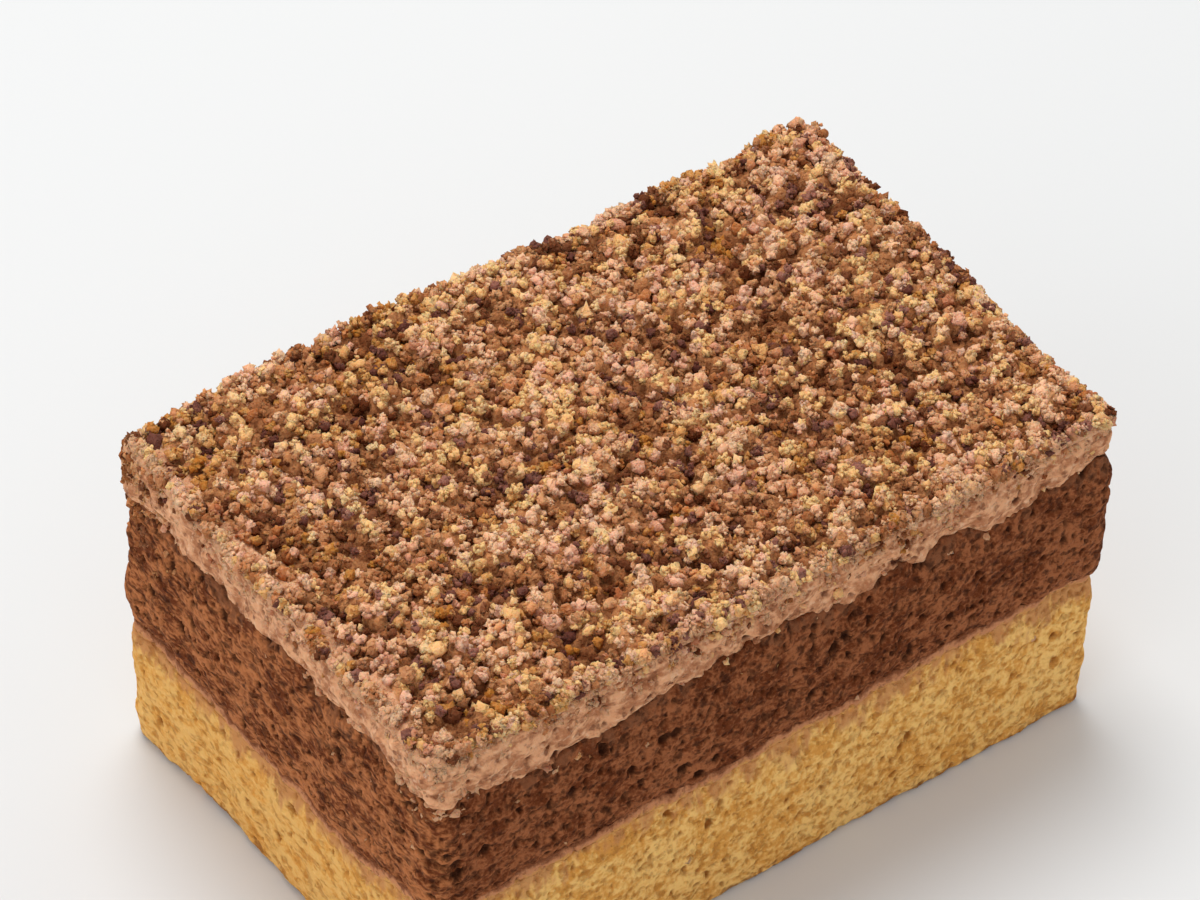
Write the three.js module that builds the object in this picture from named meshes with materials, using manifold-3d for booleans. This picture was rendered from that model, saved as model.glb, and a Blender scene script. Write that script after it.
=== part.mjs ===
// A cut slab of chocolate mousse cake in five layers: vanilla sponge, a thin seam of mousse,
// chocolate sponge, mousse, and a coat of cake crumbs.
// Millimetres, +Z up. The origin is on the ground under the middle of the slab, +X runs along
// its length, and the two cut faces that are seen first are the one at -Y and the one at -X.
import * as THREE from "three";
import { mergeVertices } from "three/addons/utils/BufferGeometryUtils.js";
import { SimplexNoise } from "three/addons/math/SimplexNoise.js";
import Module from "manifold-3d";

// ---- The slab's plan ----
const LENGTH = 100; // along X, at the front cut
const WIDTH = 65; // along Y
const BACK_SPLAY = 1.3; // the back edge reaches this much further at each end than the front one
const CORNER_RADIUS = 2.5;

// ---- The layers, from the ground up ----
const SEAM_BOTTOM = 23.3; // top of the vanilla sponge
const SEAM_THICKNESS = 1.7;
const SEAM_DIP = 4; // the sponge is this much thinner towards the back of the left cut
const MOUSSE_BOTTOM = 43.6;
const MOUSSE_DRIP = 2.2; // the mousse fills a hollow this deep near the front corner
const DRIP_CENTRE = { x: -33, y: -34, spread: 9 };
const CRUMB_BOTTOM = 50.5;
const CRUMB_BED = 51.9; // the crumbs' mean height
const GAP = 0.3; // between one layer and the next

// ---- The cut faces ----
const BASE_ROUNDING = 1.3; // where the vanilla sponge meets the ground
const VANILLA_BULGE = 0.5;
const CHOCOLATE_BULGE = 0.8;
const MOUSSE_BULGE = 0.3;
const SPONGE_CRAG = 0.45; // how far the sponge's crumb stands out or in
const MOUSSE_CRAG = 0.2;
const CRAG_LENGTH = 4.5;
const ROWS = { vanilla: 6, seam: 1, chocolate: 5, mousse: 3 }; // faces up each layer
const SIDE_STEP = 4.4; // the width of a face along a side
const CORNER_STEPS = 3; // faces round a corner
const HIDDEN_RING = 0.8; // the hidden faces between layers have one ring, this share of the plan

// ---- The crumbs ----
const BED_STEPS = { x: 44, y: 28 };
const BED_JITTER = 0.24; // how far a bump strays from its place, in steps
const BED_RELIEF = 1; // bumps of crumb size, up and down
const OVERHANG = 0.3; // the coat stands out past the cut faces
const EDGE_RELIEF = 0.6; // its uneven edge, in and out
const EDGE_BUMPS = 0.4; // the bumps along the edge are this share of the others
const CRUMBS = { x: 14, y: 9 }; // the larger crumbs that stand out, one for each cell
const CRUMB_SIZE = { low: 2.0, high: 3.4 };
const CRUMB_RISE = 0.2; // their centres over the bed's mean height
const CRUMB_LUMPS = 0.28; // how far a crumb's corners depart from a ball
const SEED = 11;

const wasm = await Module();
wasm.setup();

// A seeded source of numbers from 0 to 1, in the shape that SimplexNoise takes.
function seeded(seed) {
  let state = seed;
  const random = () => {
    state = (state * 1664525 + 1013904223) % 4294967296;
    return state / 4294967296;
  };
  return { random };
}

const noise = new SimplexNoise(seeded(SEED));
const lerp = THREE.MathUtils.lerp;
const smooth = (share) => THREE.MathUtils.smoothstep(share, 0, 1);

// Three crossing sine waves, from -1 to 1, whose main length is given.
function ripple(x, y, length) {
  const k = (2 * Math.PI) / length;
  return (
    (Math.sin(k * x + 1.3) +
      Math.sin(1.4 * k * (0.6 * x + 0.8 * y) + 0.4) +
      Math.sin(0.8 * k * y + 2.1)) /
    3
  );
}

// ---- The surfaces between layers, as heights over the plan ----
function seamBottom(x, y) {
  const dip = SEAM_DIP * smooth((-x - LENGTH * 0.3) / 20) * smooth((y + WIDTH / 2) / 24);
  return SEAM_BOTTOM - dip + 0.3 * ripple(x, y, 19);
}

function seamTop(x, y) {
  return seamBottom(x, y) + SEAM_THICKNESS + 0.2 * ripple(y, x, 14);
}

function mousseBottom(x, y) {
  const away = Math.hypot(x - DRIP_CENTRE.x, y - DRIP_CENTRE.y) / DRIP_CENTRE.spread;
  const drip = MOUSSE_DRIP * Math.exp(-away * away);
  return MOUSSE_BOTTOM - drip + 0.8 * ripple(x, y, 23) + 0.5 * ripple(y, x, 12);
}

const crumbBottom = () => CRUMB_BOTTOM;

// ---- The plan ----
// The slab's half length at y, where the two ends splay towards the back.
function halfLength(y) {
  return LENGTH / 2 + (BACK_SPLAY * (y + WIDTH / 2)) / WIDTH;
}

// The outline as points with their outward normals, anticlockwise.
function outlineOf() {
  const r = CORNER_RADIUS;
  const [x, y] = [LENGTH / 2 - r, WIDTH / 2 - r];
  const path = new THREE.Path();
  path.absarc(x, -y, r, -Math.PI / 2, 0);
  path.absarc(x, y, r, 0, Math.PI / 2);
  path.absarc(-x, y, r, Math.PI / 2, Math.PI);
  path.absarc(-x, -y, r, Math.PI, 1.5 * Math.PI);
  path.closePath();
  const points = path.curves.flatMap((curve) => {
    const steps = curve.isLineCurve ? Math.round(curve.getLength() / SIDE_STEP) : CORNER_STEPS;
    return curve.getSpacedPoints(steps).slice(0, -1);
  });
  for (const p of points) p.x *= halfLength(p.y) / (LENGTH / 2);
  return points.map((p, i) => {
    const along = points[(i + 1) % points.length].clone().sub(points.at(i - 1)).normalize();
    return { x: p.x, y: p.y, out: new THREE.Vector2(along.y, -along.x) };
  });
}

const OUTLINE = outlineOf();
const COLUMNS = OUTLINE.length;

// A ring of the outline, moved out by offset(point) and set at height(point).
function ringOf(offset, height) {
  return OUTLINE.map((p) => {
    const d = offset(p);
    return [p.x + d * p.out.x, p.y + d * p.out.y, height(p)];
  });
}

// A closed surface through rings from the bottom up, with a point at each end. The lowest band's
// diagonals run the other way, so that the two sides of a gap between layers have equal faces.
function shellOf(bottom, rings, top) {
  const positions = [bottom, ...rings.flat(), top].flat();
  const last = rings.length * COLUMNS + 1;
  const at = (ring, column) => 1 + ring * COLUMNS + (column % COLUMNS);
  const faces = [];
  for (let c = 0; c < COLUMNS; c++) {
    faces.push(0, at(0, c + 1), at(0, c));
    for (let r = 0; r + 1 < rings.length; r++) {
      const [a, b] = [at(r, c), at(r, c + 1)];
      const [d, e] = [at(r + 1, c), at(r + 1, c + 1)];
      if (r === 0) faces.push(a, b, d, b, e, d);
      else faces.push(a, b, e, a, e, d);
    }
    faces.push(last, at(rings.length - 1, c), at(rings.length - 1, c + 1));
  }
  return new THREE.BufferGeometry()
    .setAttribute("position", new THREE.Float32BufferAttribute(positions, 3))
    .setIndex(faces);
}

// The rings up a cut face between two surfaces: the face bulges, and its crumb stands out and in.
function faceRings(rows, low, high, bulge, crag) {
  const rings = [];
  for (let k = 0; k <= rows; k++) {
    const share = k / rows;
    const height = (p) => lerp(low(p.x, p.y) + GAP / 2, high(p.x, p.y) - GAP / 2, share);
    const inner = Math.sin(Math.PI * share);
    const offset = (p) => {
      const grain = noise.noise3d(p.x / CRAG_LENGTH, p.y / CRAG_LENGTH, height(p) / CRAG_LENGTH);
      return inner * bulge + Math.min(1, 2 * inner) * crag * grain;
    };
    rings.push(ringOf(offset, height));
  }
  return rings;
}

// The hidden face between two layers, on its upper or lower side: one ring inside, and the middle.
function hiddenFace(surface, side) {
  const pointAt = (x, y) => [x, y, surface(x, y) + (side * GAP) / 2];
  const ring = OUTLINE.map((p) => pointAt(HIDDEN_RING * p.x, HIDDEN_RING * p.y));
  return { ring, middle: pointAt(0, 0) };
}

// A layer between two surfaces of the stack.
function layerOf(rows, low, high, bulge, crag) {
  const below = hiddenFace(low, 1);
  const above = hiddenFace(high, -1);
  const rings = [below.ring, ...faceRings(rows, low, high, bulge, crag), above.ring];
  return shellOf(below.middle, rings, above.middle);
}

// The lowest layer stands flat on the ground, with a rounded lower edge.
function vanillaSponge() {
  const above = hiddenFace(seamBottom, -1);
  const rounded = [0, 0.4].map((share) => {
    const inset = BASE_ROUNDING * (1 - Math.sqrt(1 - (1 - share) ** 2));
    return ringOf(() => -inset, () => share * BASE_ROUNDING);
  });
  const foot = () => BASE_ROUNDING - GAP / 2;
  const face = faceRings(ROWS.vanilla, foot, seamBottom, VANILLA_BULGE, SPONGE_CRAG);
  return shellOf([0, 0, 0], [...rounded, ...face, above.ring], above.middle);
}

// ---- manifold-3d, which only joins the crumbs to their bed ----
function solidOf(geometry) {
  const bare = new THREE.BufferGeometry()
    .setAttribute("position", geometry.getAttribute("position"))
    .setIndex(geometry.index);
  const merged = mergeVertices(bare, 1e-4);
  return new wasm.Manifold(
    new wasm.Mesh({
      numProp: 3,
      vertProperties: new Float32Array(merged.getAttribute("position").array),
      triVerts: new Uint32Array(merged.index.array),
    }),
  );
}

function geometryOf(solid) {
  const { vertProperties, triVerts } = solid.getMesh();
  return new THREE.BufferGeometry()
    .setAttribute("position", new THREE.BufferAttribute(vertProperties, 3))
    .setIndex(new THREE.BufferAttribute(triVerts, 1));
}

// ---- The crumb coat ----
// A point of the plan, drawn in where it lies outside the rounded corners.
function withinCorners(x, y) {
  const r = CORNER_RADIUS;
  const [cx, cy] = [Math.sign(x) * (LENGTH / 2 - r), Math.sign(y) * (WIDTH / 2 - r)];
  const [dx, dy] = [x - cx, y - cy];
  const outside = dx * cx > 0 && dy * cy > 0 && Math.hypot(dx, dy) > r;
  const pull = r / Math.hypot(dx, dy);
  return outside ? [cx + dx * pull, cy + dy * pull] : [x, y];
}

// A point of the bed's top, which has crumb-sized bumps and an uneven edge.
function bedPoint(i, j, random) {
  const { x: nx, y: ny } = BED_STEPS;
  const spread = () => 2 * random() - 1;
  const onEdge = i === 0 || j === 0 || i === nx || j === ny;
  const jitter = onEdge ? 0 : (BED_JITTER * LENGTH) / nx;
  const reach = onEdge ? 1 + (OVERHANG + EDGE_RELIEF * spread()) / (WIDTH / 2) : 1;
  const [planX, planY] = withinCorners(LENGTH * (i / nx - 0.5), WIDTH * (j / ny - 0.5));
  const x = planX * reach + jitter * spread();
  const y = planY * reach + jitter * spread();
  const bump = (onEdge ? EDGE_BUMPS : 1) * BED_RELIEF * spread();
  return [(x * halfLength(y)) / (LENGTH / 2), y, CRUMB_BED + bump];
}

// The bed: a bumpy top, an upright rim and a flat underside.
function crumbBed(random) {
  const { x: nx, y: ny } = BED_STEPS;
  const points = [];
  const faces = [];
  const at = (i, j) => j * (nx + 1) + i;
  for (let j = 0; j <= ny; j++) {
    for (let i = 0; i <= nx; i++) points.push(bedPoint(i, j, random));
  }
  for (let j = 0; j < ny; j++) {
    for (let i = 0; i < nx; i++) {
      const [a, b, c, d] = [at(i, j), at(i + 1, j), at(i + 1, j + 1), at(i, j + 1)];
      faces.push(a, b, c, a, c, d);
    }
  }
  const rim = [];
  for (let i = 0; i < nx; i++) rim.push(at(i, 0));
  for (let j = 0; j < ny; j++) rim.push(at(nx, j));
  for (let i = nx; i > 0; i--) rim.push(at(i, ny));
  for (let j = ny; j > 0; j--) rim.push(at(0, j));

  const underside = CRUMB_BOTTOM + GAP / 2;
  const first = points.length;
  for (const v of rim) points.push([points[v][0], points[v][1], underside]);
  const middle = points.push([0, 0, underside]) - 1;
  rim.forEach((high, k) => {
    const next = (k + 1) % rim.length;
    const [low, lowNext, highNext] = [first + k, first + next, rim[next]];
    faces.push(low, lowNext, highNext, low, highNext, high, middle, lowNext, low);
  });
  return new THREE.BufferGeometry()
    .setAttribute("position", new THREE.Float32BufferAttribute(points.flat(), 3))
    .setIndex(faces);
}

// A lumpy crumb of twenty faces, about a place on the bed and never through it.
function crumbAt(x, y, z, size, random) {
  const ball = new THREE.IcosahedronGeometry(size / 2, 0);
  ball.deleteAttribute("normal");
  ball.deleteAttribute("uv");
  const crumb = mergeVertices(ball, 1e-4);
  const corners = crumb.getAttribute("position");
  for (let i = 0; i < corners.count; i++) {
    const reach = 1 + CRUMB_LUMPS * (2 * random() - 1);
    corners.setXYZ(i, corners.getX(i) * reach, corners.getY(i) * reach, corners.getZ(i) * reach);
  }
  crumb.rotateX(2 * Math.PI * random());
  crumb.rotateZ(2 * Math.PI * random());
  crumb.translate(x, y, z);
  const lowest = CRUMB_BOTTOM + GAP;
  for (let i = 0; i < corners.count; i++) corners.setZ(i, Math.max(lowest, corners.getZ(i)));
  return crumb;
}

// The larger crumbs are spread one to each cell of a grid, and fused to the bed.
function crumbCoat() {
  const { random } = seeded(SEED);
  let coat = solidOf(crumbBed(random));
  for (let j = 0; j < CRUMBS.y; j++) {
    for (let i = 0; i < CRUMBS.x; i++) {
      const size = lerp(CRUMB_SIZE.low, CRUMB_SIZE.high, random() ** 2);
      const y = (WIDTH - size) * ((j + random()) / CRUMBS.y - 0.5);
      const x = (2 * halfLength(y) - size) * ((i + random()) / CRUMBS.x - 0.5);
      coat = coat.add(solidOf(crumbAt(x, y, CRUMB_BED + CRUMB_RISE, size, random)));
    }
  }
  // The outer shell alone: a hollow that fusing sealed is filled, and a loose scrap is dropped.
  const whole = coat.decompose().reduce((a, b) => (a.volume() > b.volume() ? a : b));
  return geometryOf(whole);
}

// ---- The pieces ----
function piece(name, geometry, colour, roughness) {
  const material = new THREE.MeshStandardMaterial({ color: colour, roughness, metalness: 0 });
  const mesh = new THREE.Mesh(geometry, material);
  mesh.name = name;
  return mesh;
}

const seam = layerOf(ROWS.seam, seamBottom, seamTop, 0, 0);
const chocolate = layerOf(ROWS.chocolate, seamTop, mousseBottom, CHOCOLATE_BULGE, SPONGE_CRAG);
const mousse = layerOf(ROWS.mousse, mousseBottom, crumbBottom, MOUSSE_BULGE, MOUSSE_CRAG);

const cake = new THREE.Group();
cake.add(
  piece("vanilla_sponge", vanillaSponge(), 0xd2a055, 0.9),
  piece("mousse_seam", seam, 0xa8704c, 0.75),
  piece("chocolate_sponge", chocolate, 0x6e4027, 0.95),
  piece("mousse_layer", mousse, 0xb98763, 0.7),
  piece("crumb_coat", crumbCoat(), 0xa87449, 0.95),
);

export default cake;
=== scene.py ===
"""The looks of a slice of chocolate mousse cake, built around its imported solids.

Metres, +Z up, in the frame of the solids: the origin is on the ground under the middle of the
slice, +X runs along its length, and the camera sees the cut faces at -Y and at -X. Each layer
that shows is a fine surface worked out with numpy, and it stands for the plain solid of its node.
"""

import logging
import math
from collections.abc import Callable
from dataclasses import dataclass
from enum import Enum, IntEnum
from itertools import product

import bpy
import numpy as np
from mathutils import Matrix, Vector


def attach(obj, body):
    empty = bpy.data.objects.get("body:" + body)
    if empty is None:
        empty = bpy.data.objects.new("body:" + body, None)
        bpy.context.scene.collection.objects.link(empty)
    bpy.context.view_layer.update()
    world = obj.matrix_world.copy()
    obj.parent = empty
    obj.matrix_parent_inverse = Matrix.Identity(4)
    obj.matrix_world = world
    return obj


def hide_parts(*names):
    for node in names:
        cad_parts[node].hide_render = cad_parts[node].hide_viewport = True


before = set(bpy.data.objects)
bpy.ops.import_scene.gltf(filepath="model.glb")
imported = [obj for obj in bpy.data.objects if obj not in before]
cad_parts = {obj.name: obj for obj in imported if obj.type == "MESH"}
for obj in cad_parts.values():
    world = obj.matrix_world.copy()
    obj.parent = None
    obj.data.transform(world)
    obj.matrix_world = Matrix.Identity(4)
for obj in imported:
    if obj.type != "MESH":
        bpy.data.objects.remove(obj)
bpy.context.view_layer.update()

LOG = logging.getLogger("cake")
MM = 0.001
BODY = "root"

Array = np.ndarray
Surface = Callable[[Array, Array], Array]

# The numbers that stir a hash of 32 bits, and how far apart the seeds of two octaves are.
PRIMES = (73856093, 19349663, 83492791)
SPREADER = 2654435761
STIRRER = 0x45D9F3B
WORD = 0xFFFFFFFF
OCTAVE_SEEDS = 17


class Chance(IntEnum):
    """The seed of each pattern of chance, so that every run gives the same slice."""

    DRAWS = 4
    SEAM_LOW = 5
    SEAM_HIGH = 6
    SCALLOPS = 7
    SCALLOP_EDGE = 8
    CRAGS = 21
    LUMPS = 22
    KNIFE = 25
    CELL_BEND = 31
    SEAM_CELLS = 36
    VANILLA_FINE = 41
    VANILLA_COARSE = 46
    CHOCOLATE_FINE = 51
    CHOCOLATE_COARSE = 56
    NICKS_FINE = 61
    NICK_BEND = 63
    CHOCOLATE_VOIDS = 66
    NICKS_COARSE = 67
    LARGE_BUMPS = 71
    BUMP_BEND = 73
    BUMP_GRAIN = 75
    SMALL_BUMPS = 81
    BED_WAVE = 91
    BED_SMEAR = 93
    SKIRT_TONE = 95
    SKIRT_BULGE = 97
    SKIRT_SMEAR = 99
    KIND_SHADE_NOISE = 111
    KIND_GOLD = 112
    CRUMB_TONE = 115
    KINDS = 120
    HEAPS = 141
    HEAP_BEND = 145
    BROAD_SHADE_NOISE = 147


@dataclass(frozen=True)
class Wave:
    """A pattern's height and the length over which it changes."""

    height: float
    length: float


# ---- Numbers that vary over space ----


def hashed(cells: Array, seed: int) -> Array:
    """Gives each row of whole numbers a value from 0 to 1 that looks random.

    The coordinates are multiplied by large primes and combined bit by bit, and the result is
    stirred twice by a shift and a multiplication.

    Args:
        cells: Whole numbers, with the coordinates along the last axis.
        seed: A number that picks one of many such patterns.

    Returns:
        One value for each row.
    """
    mixed = np.full(cells.shape[:-1], (seed * SPREADER) & WORD, dtype=np.int64)
    for axis in range(cells.shape[-1]):
        mixed ^= cells[..., axis].astype(np.int64) * PRIMES[axis]
    mixed &= WORD
    for _ in range(2):
        mixed = ((mixed ^ (mixed >> 16)) * STIRRER) & WORD
    return (mixed ^ (mixed >> 16)) / 2.0**32


def smooth_noise(points: Array, length: float, seed: int) -> Array:
    """Values from -1 to 1 that change smoothly over about a length.

    Each corner of a lattice has a random value, and inside a cell the eight are blended by
    weights of t * t * (3 - 2 * t) along each axis.

    Args:
        points: Places in space, with x, y and z along the last axis.
        length: The lattice's spacing.
        seed: Picks the pattern.

    Returns:
        One value for each place.
    """
    scaled = points / length
    cell = np.floor(scaled).astype(np.int64)
    share = scaled - cell
    share = share * share * (3 - 2 * share)
    total = np.zeros(points.shape[:-1])
    for corner in product((0, 1), repeat=3):
        weight = np.prod(np.where(corner, share, 1 - share), axis=-1)
        total += weight * hashed(cell + corner, seed)
    return 2 * total - 1


def rough_noise(points: Array, length: float, octaves: int, seed: int) -> Array:
    """Smooth noise with finer noise on it: each octave has half the length and height.

    Args:
        points: Places in space, with x, y and z along the last axis.
        length: The first octave's length.
        octaves: The number of octaves.
        seed: Picks the pattern.

    Returns:
        One value from -1 to 1 for each place.
    """
    layers = []
    for k in range(octaves):
        finer = smooth_noise(points, length * 0.5**k, seed + OCTAVE_SEEDS * k)
        layers.append(0.5**k * finer)
    return sum(layers) / (2 - 0.5 ** (octaves - 1))


def lerp(low: float | Array, high: float | Array, share: float | Array) -> float | Array:
    """The value at a share of the way from low to high."""
    return low + (high - low) * share


def smooth_step(value: Array, low: float, high: float) -> Array:
    """0 below low and 1 above high, and t * t * (3 - 2 * t) between."""
    share = np.clip((value - low) / (high - low), 0, 1)
    return share * share * (3 - 2 * share)


def ripple(x: Array, y: Array, length: float) -> Array:
    """Three crossing sine waves, as on the solids: their sum, divided by three.

    Each wave has its own pace, direction and phase.

    Args:
        x: Places along the slice.
        y: Places across it.
        length: The first wave's length.

    Returns:
        One value from -1 to 1 for each place.
    """
    k = 2 * math.pi / length
    waves = ((1.0, (1.0, 0.0), 1.3), (1.4, (0.6, 0.8), 0.4), (0.8, (0.0, 1.0), 2.1))
    return sum(np.sin(pace * k * (a * x + b * y) + phase) for pace, (a, b), phase in waves) / 3


def wandered(points: Array, bend: Wave, seed: int) -> Array:
    """Moves each place by smooth noise, so that what is drawn there loses its regular shape."""
    shift = [smooth_noise(points, bend.length, seed + axis) for axis in range(3)]
    return points + bend.height * np.stack(shift, axis=-1)


@dataclass(frozen=True)
class Balls:
    """Balls strewn through space, one or none in each cell of a lattice.

    They are the air cells of a sponge where a surface cuts them, or the crumbs of a coat.
    """

    spacing: float
    smallest: float
    largest: float
    share: float
    seed: int
    stretch: tuple[float, float, float] = (1.0, 1.0, 1.0)

    def found(self, points: Array) -> tuple[Array, Array]:
        """How deep each place is inside the ball that holds it deepest, and that ball's tone.

        In a ball of radius r whose centre is at distance d, the depth is the square root of
        r * r - d * d. Outside all balls it is 0.

        Args:
            points: Places in space, with x, y and z along the last axis.

        Returns:
            One depth for each place, in metres, and one tone from 0 to 1.
        """
        scaled = points / (np.array(self.stretch) * self.spacing)
        home = np.floor(scaled).astype(np.int64)
        deepest = np.zeros(points.shape[:-1])
        tone = np.zeros(points.shape[:-1])
        for step in product((-1, 0, 1), repeat=3):
            cell = home + step
            place = np.stack([hashed(cell, self.seed + axis) for axis in range(3)], axis=-1)
            away = (cell + place - scaled) * self.spacing
            radius = lerp(self.smallest, self.largest, hashed(cell, self.seed + 3) ** 2)
            inside = np.sqrt(np.clip(radius**2 - np.sum(away**2, axis=-1), 0, None))
            inside *= hashed(cell, self.seed + 4) < self.share
            tone = np.where(inside > deepest, hashed(cell, self.seed + 5), tone)
            deepest = np.maximum(deepest, inside)
        return deepest, tone

    def depth(self, points: Array) -> Array:
        """How deep each place is inside the ball that holds it deepest, or 0."""
        return self.found(points)[0]


@dataclass(frozen=True)
class Fade:
    """A value that is whole at an edge and falls to nothing further in."""

    whole: float
    start: float
    end: float

    def at(self, distance: Array) -> Array:
        """The value at distances from the edge."""
        return self.whole * (1 - smooth_step(distance, self.start, self.end))


# ---- Meshes ----


def piece_of(
    name: str, points: Array, faces: list[Array], attributes: dict[str, Array], smooth: bool
) -> bpy.types.Object:
    """Makes an object at the origin from arrays.

    Args:
        name: The piece's name.
        points: One row for each vertex, in metres.
        faces: Arrays of vertex numbers, one row for each face, each array with one face size.
        attributes: Named values, one for each vertex.
        smooth: Whether the faces are shaded as one curved surface.

    Returns:
        The new object, linked to the scene.
    """
    corners = np.concatenate([block.ravel() for block in faces]).astype(np.int32)
    sizes = np.concatenate([np.full(len(block), block.shape[1]) for block in faces])
    starts = np.concatenate([[0], np.cumsum(sizes)[:-1]]).astype(np.int32)
    mesh = bpy.data.meshes.new(name)
    mesh.vertices.add(len(points))
    mesh.vertices.foreach_set("co", points.astype(np.float32).ravel())
    mesh.loops.add(len(corners))
    mesh.loops.foreach_set("vertex_index", corners)
    mesh.polygons.add(len(sizes))
    mesh.polygons.foreach_set("loop_start", starts)
    mesh.update(calc_edges=True)
    mesh.polygons.foreach_set("use_smooth", np.full(len(sizes), smooth))
    for key, values in attributes.items():
        attribute = mesh.attributes.new(key, "FLOAT", "POINT")
        attribute.data.foreach_set("value", values.astype(np.float32).ravel())
    made = bpy.data.objects.new(name, mesh)
    bpy.context.scene.collection.objects.link(made)
    return made


def shell_faces(rows: int, columns: int) -> list[Array]:
    """The faces of a closed shell of rings, whose first and last vertices are its two middles.

    Vertex 0 is the lower middle, then come the rings from the bottom up, each anticlockwise
    from above, and the last vertex is the upper middle. Quads join each ring to the next, and
    a fan of triangles closes each end.

    Args:
        rows: The number of rings.
        columns: The number of points in a ring.

    Returns:
        The quads and the triangles.
    """
    here = np.arange(columns)
    after = (here + 1) % columns
    first = 1 + columns * np.arange(rows - 1)[:, None]
    quads = np.stack(
        [first + here, first + after, first + columns + after, first + columns + here], axis=-1
    )
    lower = np.stack([np.zeros(columns, int), 1 + after, 1 + here], axis=-1)
    top = 1 + columns * (rows - 1)
    upper = np.stack([np.full(columns, 1 + columns * rows), top + here, top + after], axis=-1)
    return [quads.reshape(-1, 4), np.concatenate([lower, upper])]


# ---- Finishes ----


def colour(red: int, green: int, blue: int) -> tuple[float, float, float, float]:
    """Turns an sRGB colour into the linear values that shaders take.

    Args:
        red: From 0 to 255.
        green: From 0 to 255.
        blue: From 0 to 255.

    Returns:
        The three linear values and an alpha of 1.
    """

    def linear(value: int) -> float:
        """One channel, by the sRGB curve."""
        share = value / 255
        return share / 12.92 if share <= 0.04045 else ((share + 0.055) / 1.055) ** 2.4

    return (linear(red), linear(green), linear(blue), 1.0)


class Field:
    """A number that varies over a surface: a shader socket on which sums read as sums."""

    def __init__(self, graph: "Graph", socket: bpy.types.NodeSocket) -> None:
        """Wraps a socket of a graph."""
        self.graph = graph
        self.socket = socket

    def _maths(self, operation: str, first: "Field | float", second: "Field | float") -> "Field":
        """Adds a Math node."""
        node = self.graph.node("ShaderNodeMath", {"operation": operation}, {0: first, 1: second})
        return Field(self.graph, node.outputs[0])

    def __add__(self, other: "Field | float") -> "Field":
        """The sum."""
        return self._maths("ADD", self, other)

    __radd__ = __add__

    def __sub__(self, other: "Field | float") -> "Field":
        """The difference."""
        return self._maths("SUBTRACT", self, other)

    def __rsub__(self, other: "Field | float") -> "Field":
        """The difference the other way round."""
        return self._maths("SUBTRACT", other, self)

    def __mul__(self, other: "Field | float") -> "Field":
        """The product."""
        return self._maths("MULTIPLY", self, other)

    __rmul__ = __mul__

    def __truediv__(self, other: "Field | float") -> "Field":
        """The quotient."""
        return self._maths("DIVIDE", self, other)

    def step(self, low: float, high: float) -> "Field":
        """0 below low and 1 above high, smooth between; with low above high, the other way.

        Args:
            low: Where the step starts.
            high: Where it ends.

        Returns:
            The field of steps.
        """
        settings = {"interpolation_type": "SMOOTHSTEP"}
        inputs = {"Value": self, "From Min": low, "From Max": high}
        node = self.graph.node("ShaderNodeMapRange", settings, inputs)
        return Field(self.graph, node.outputs["Result"])


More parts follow.
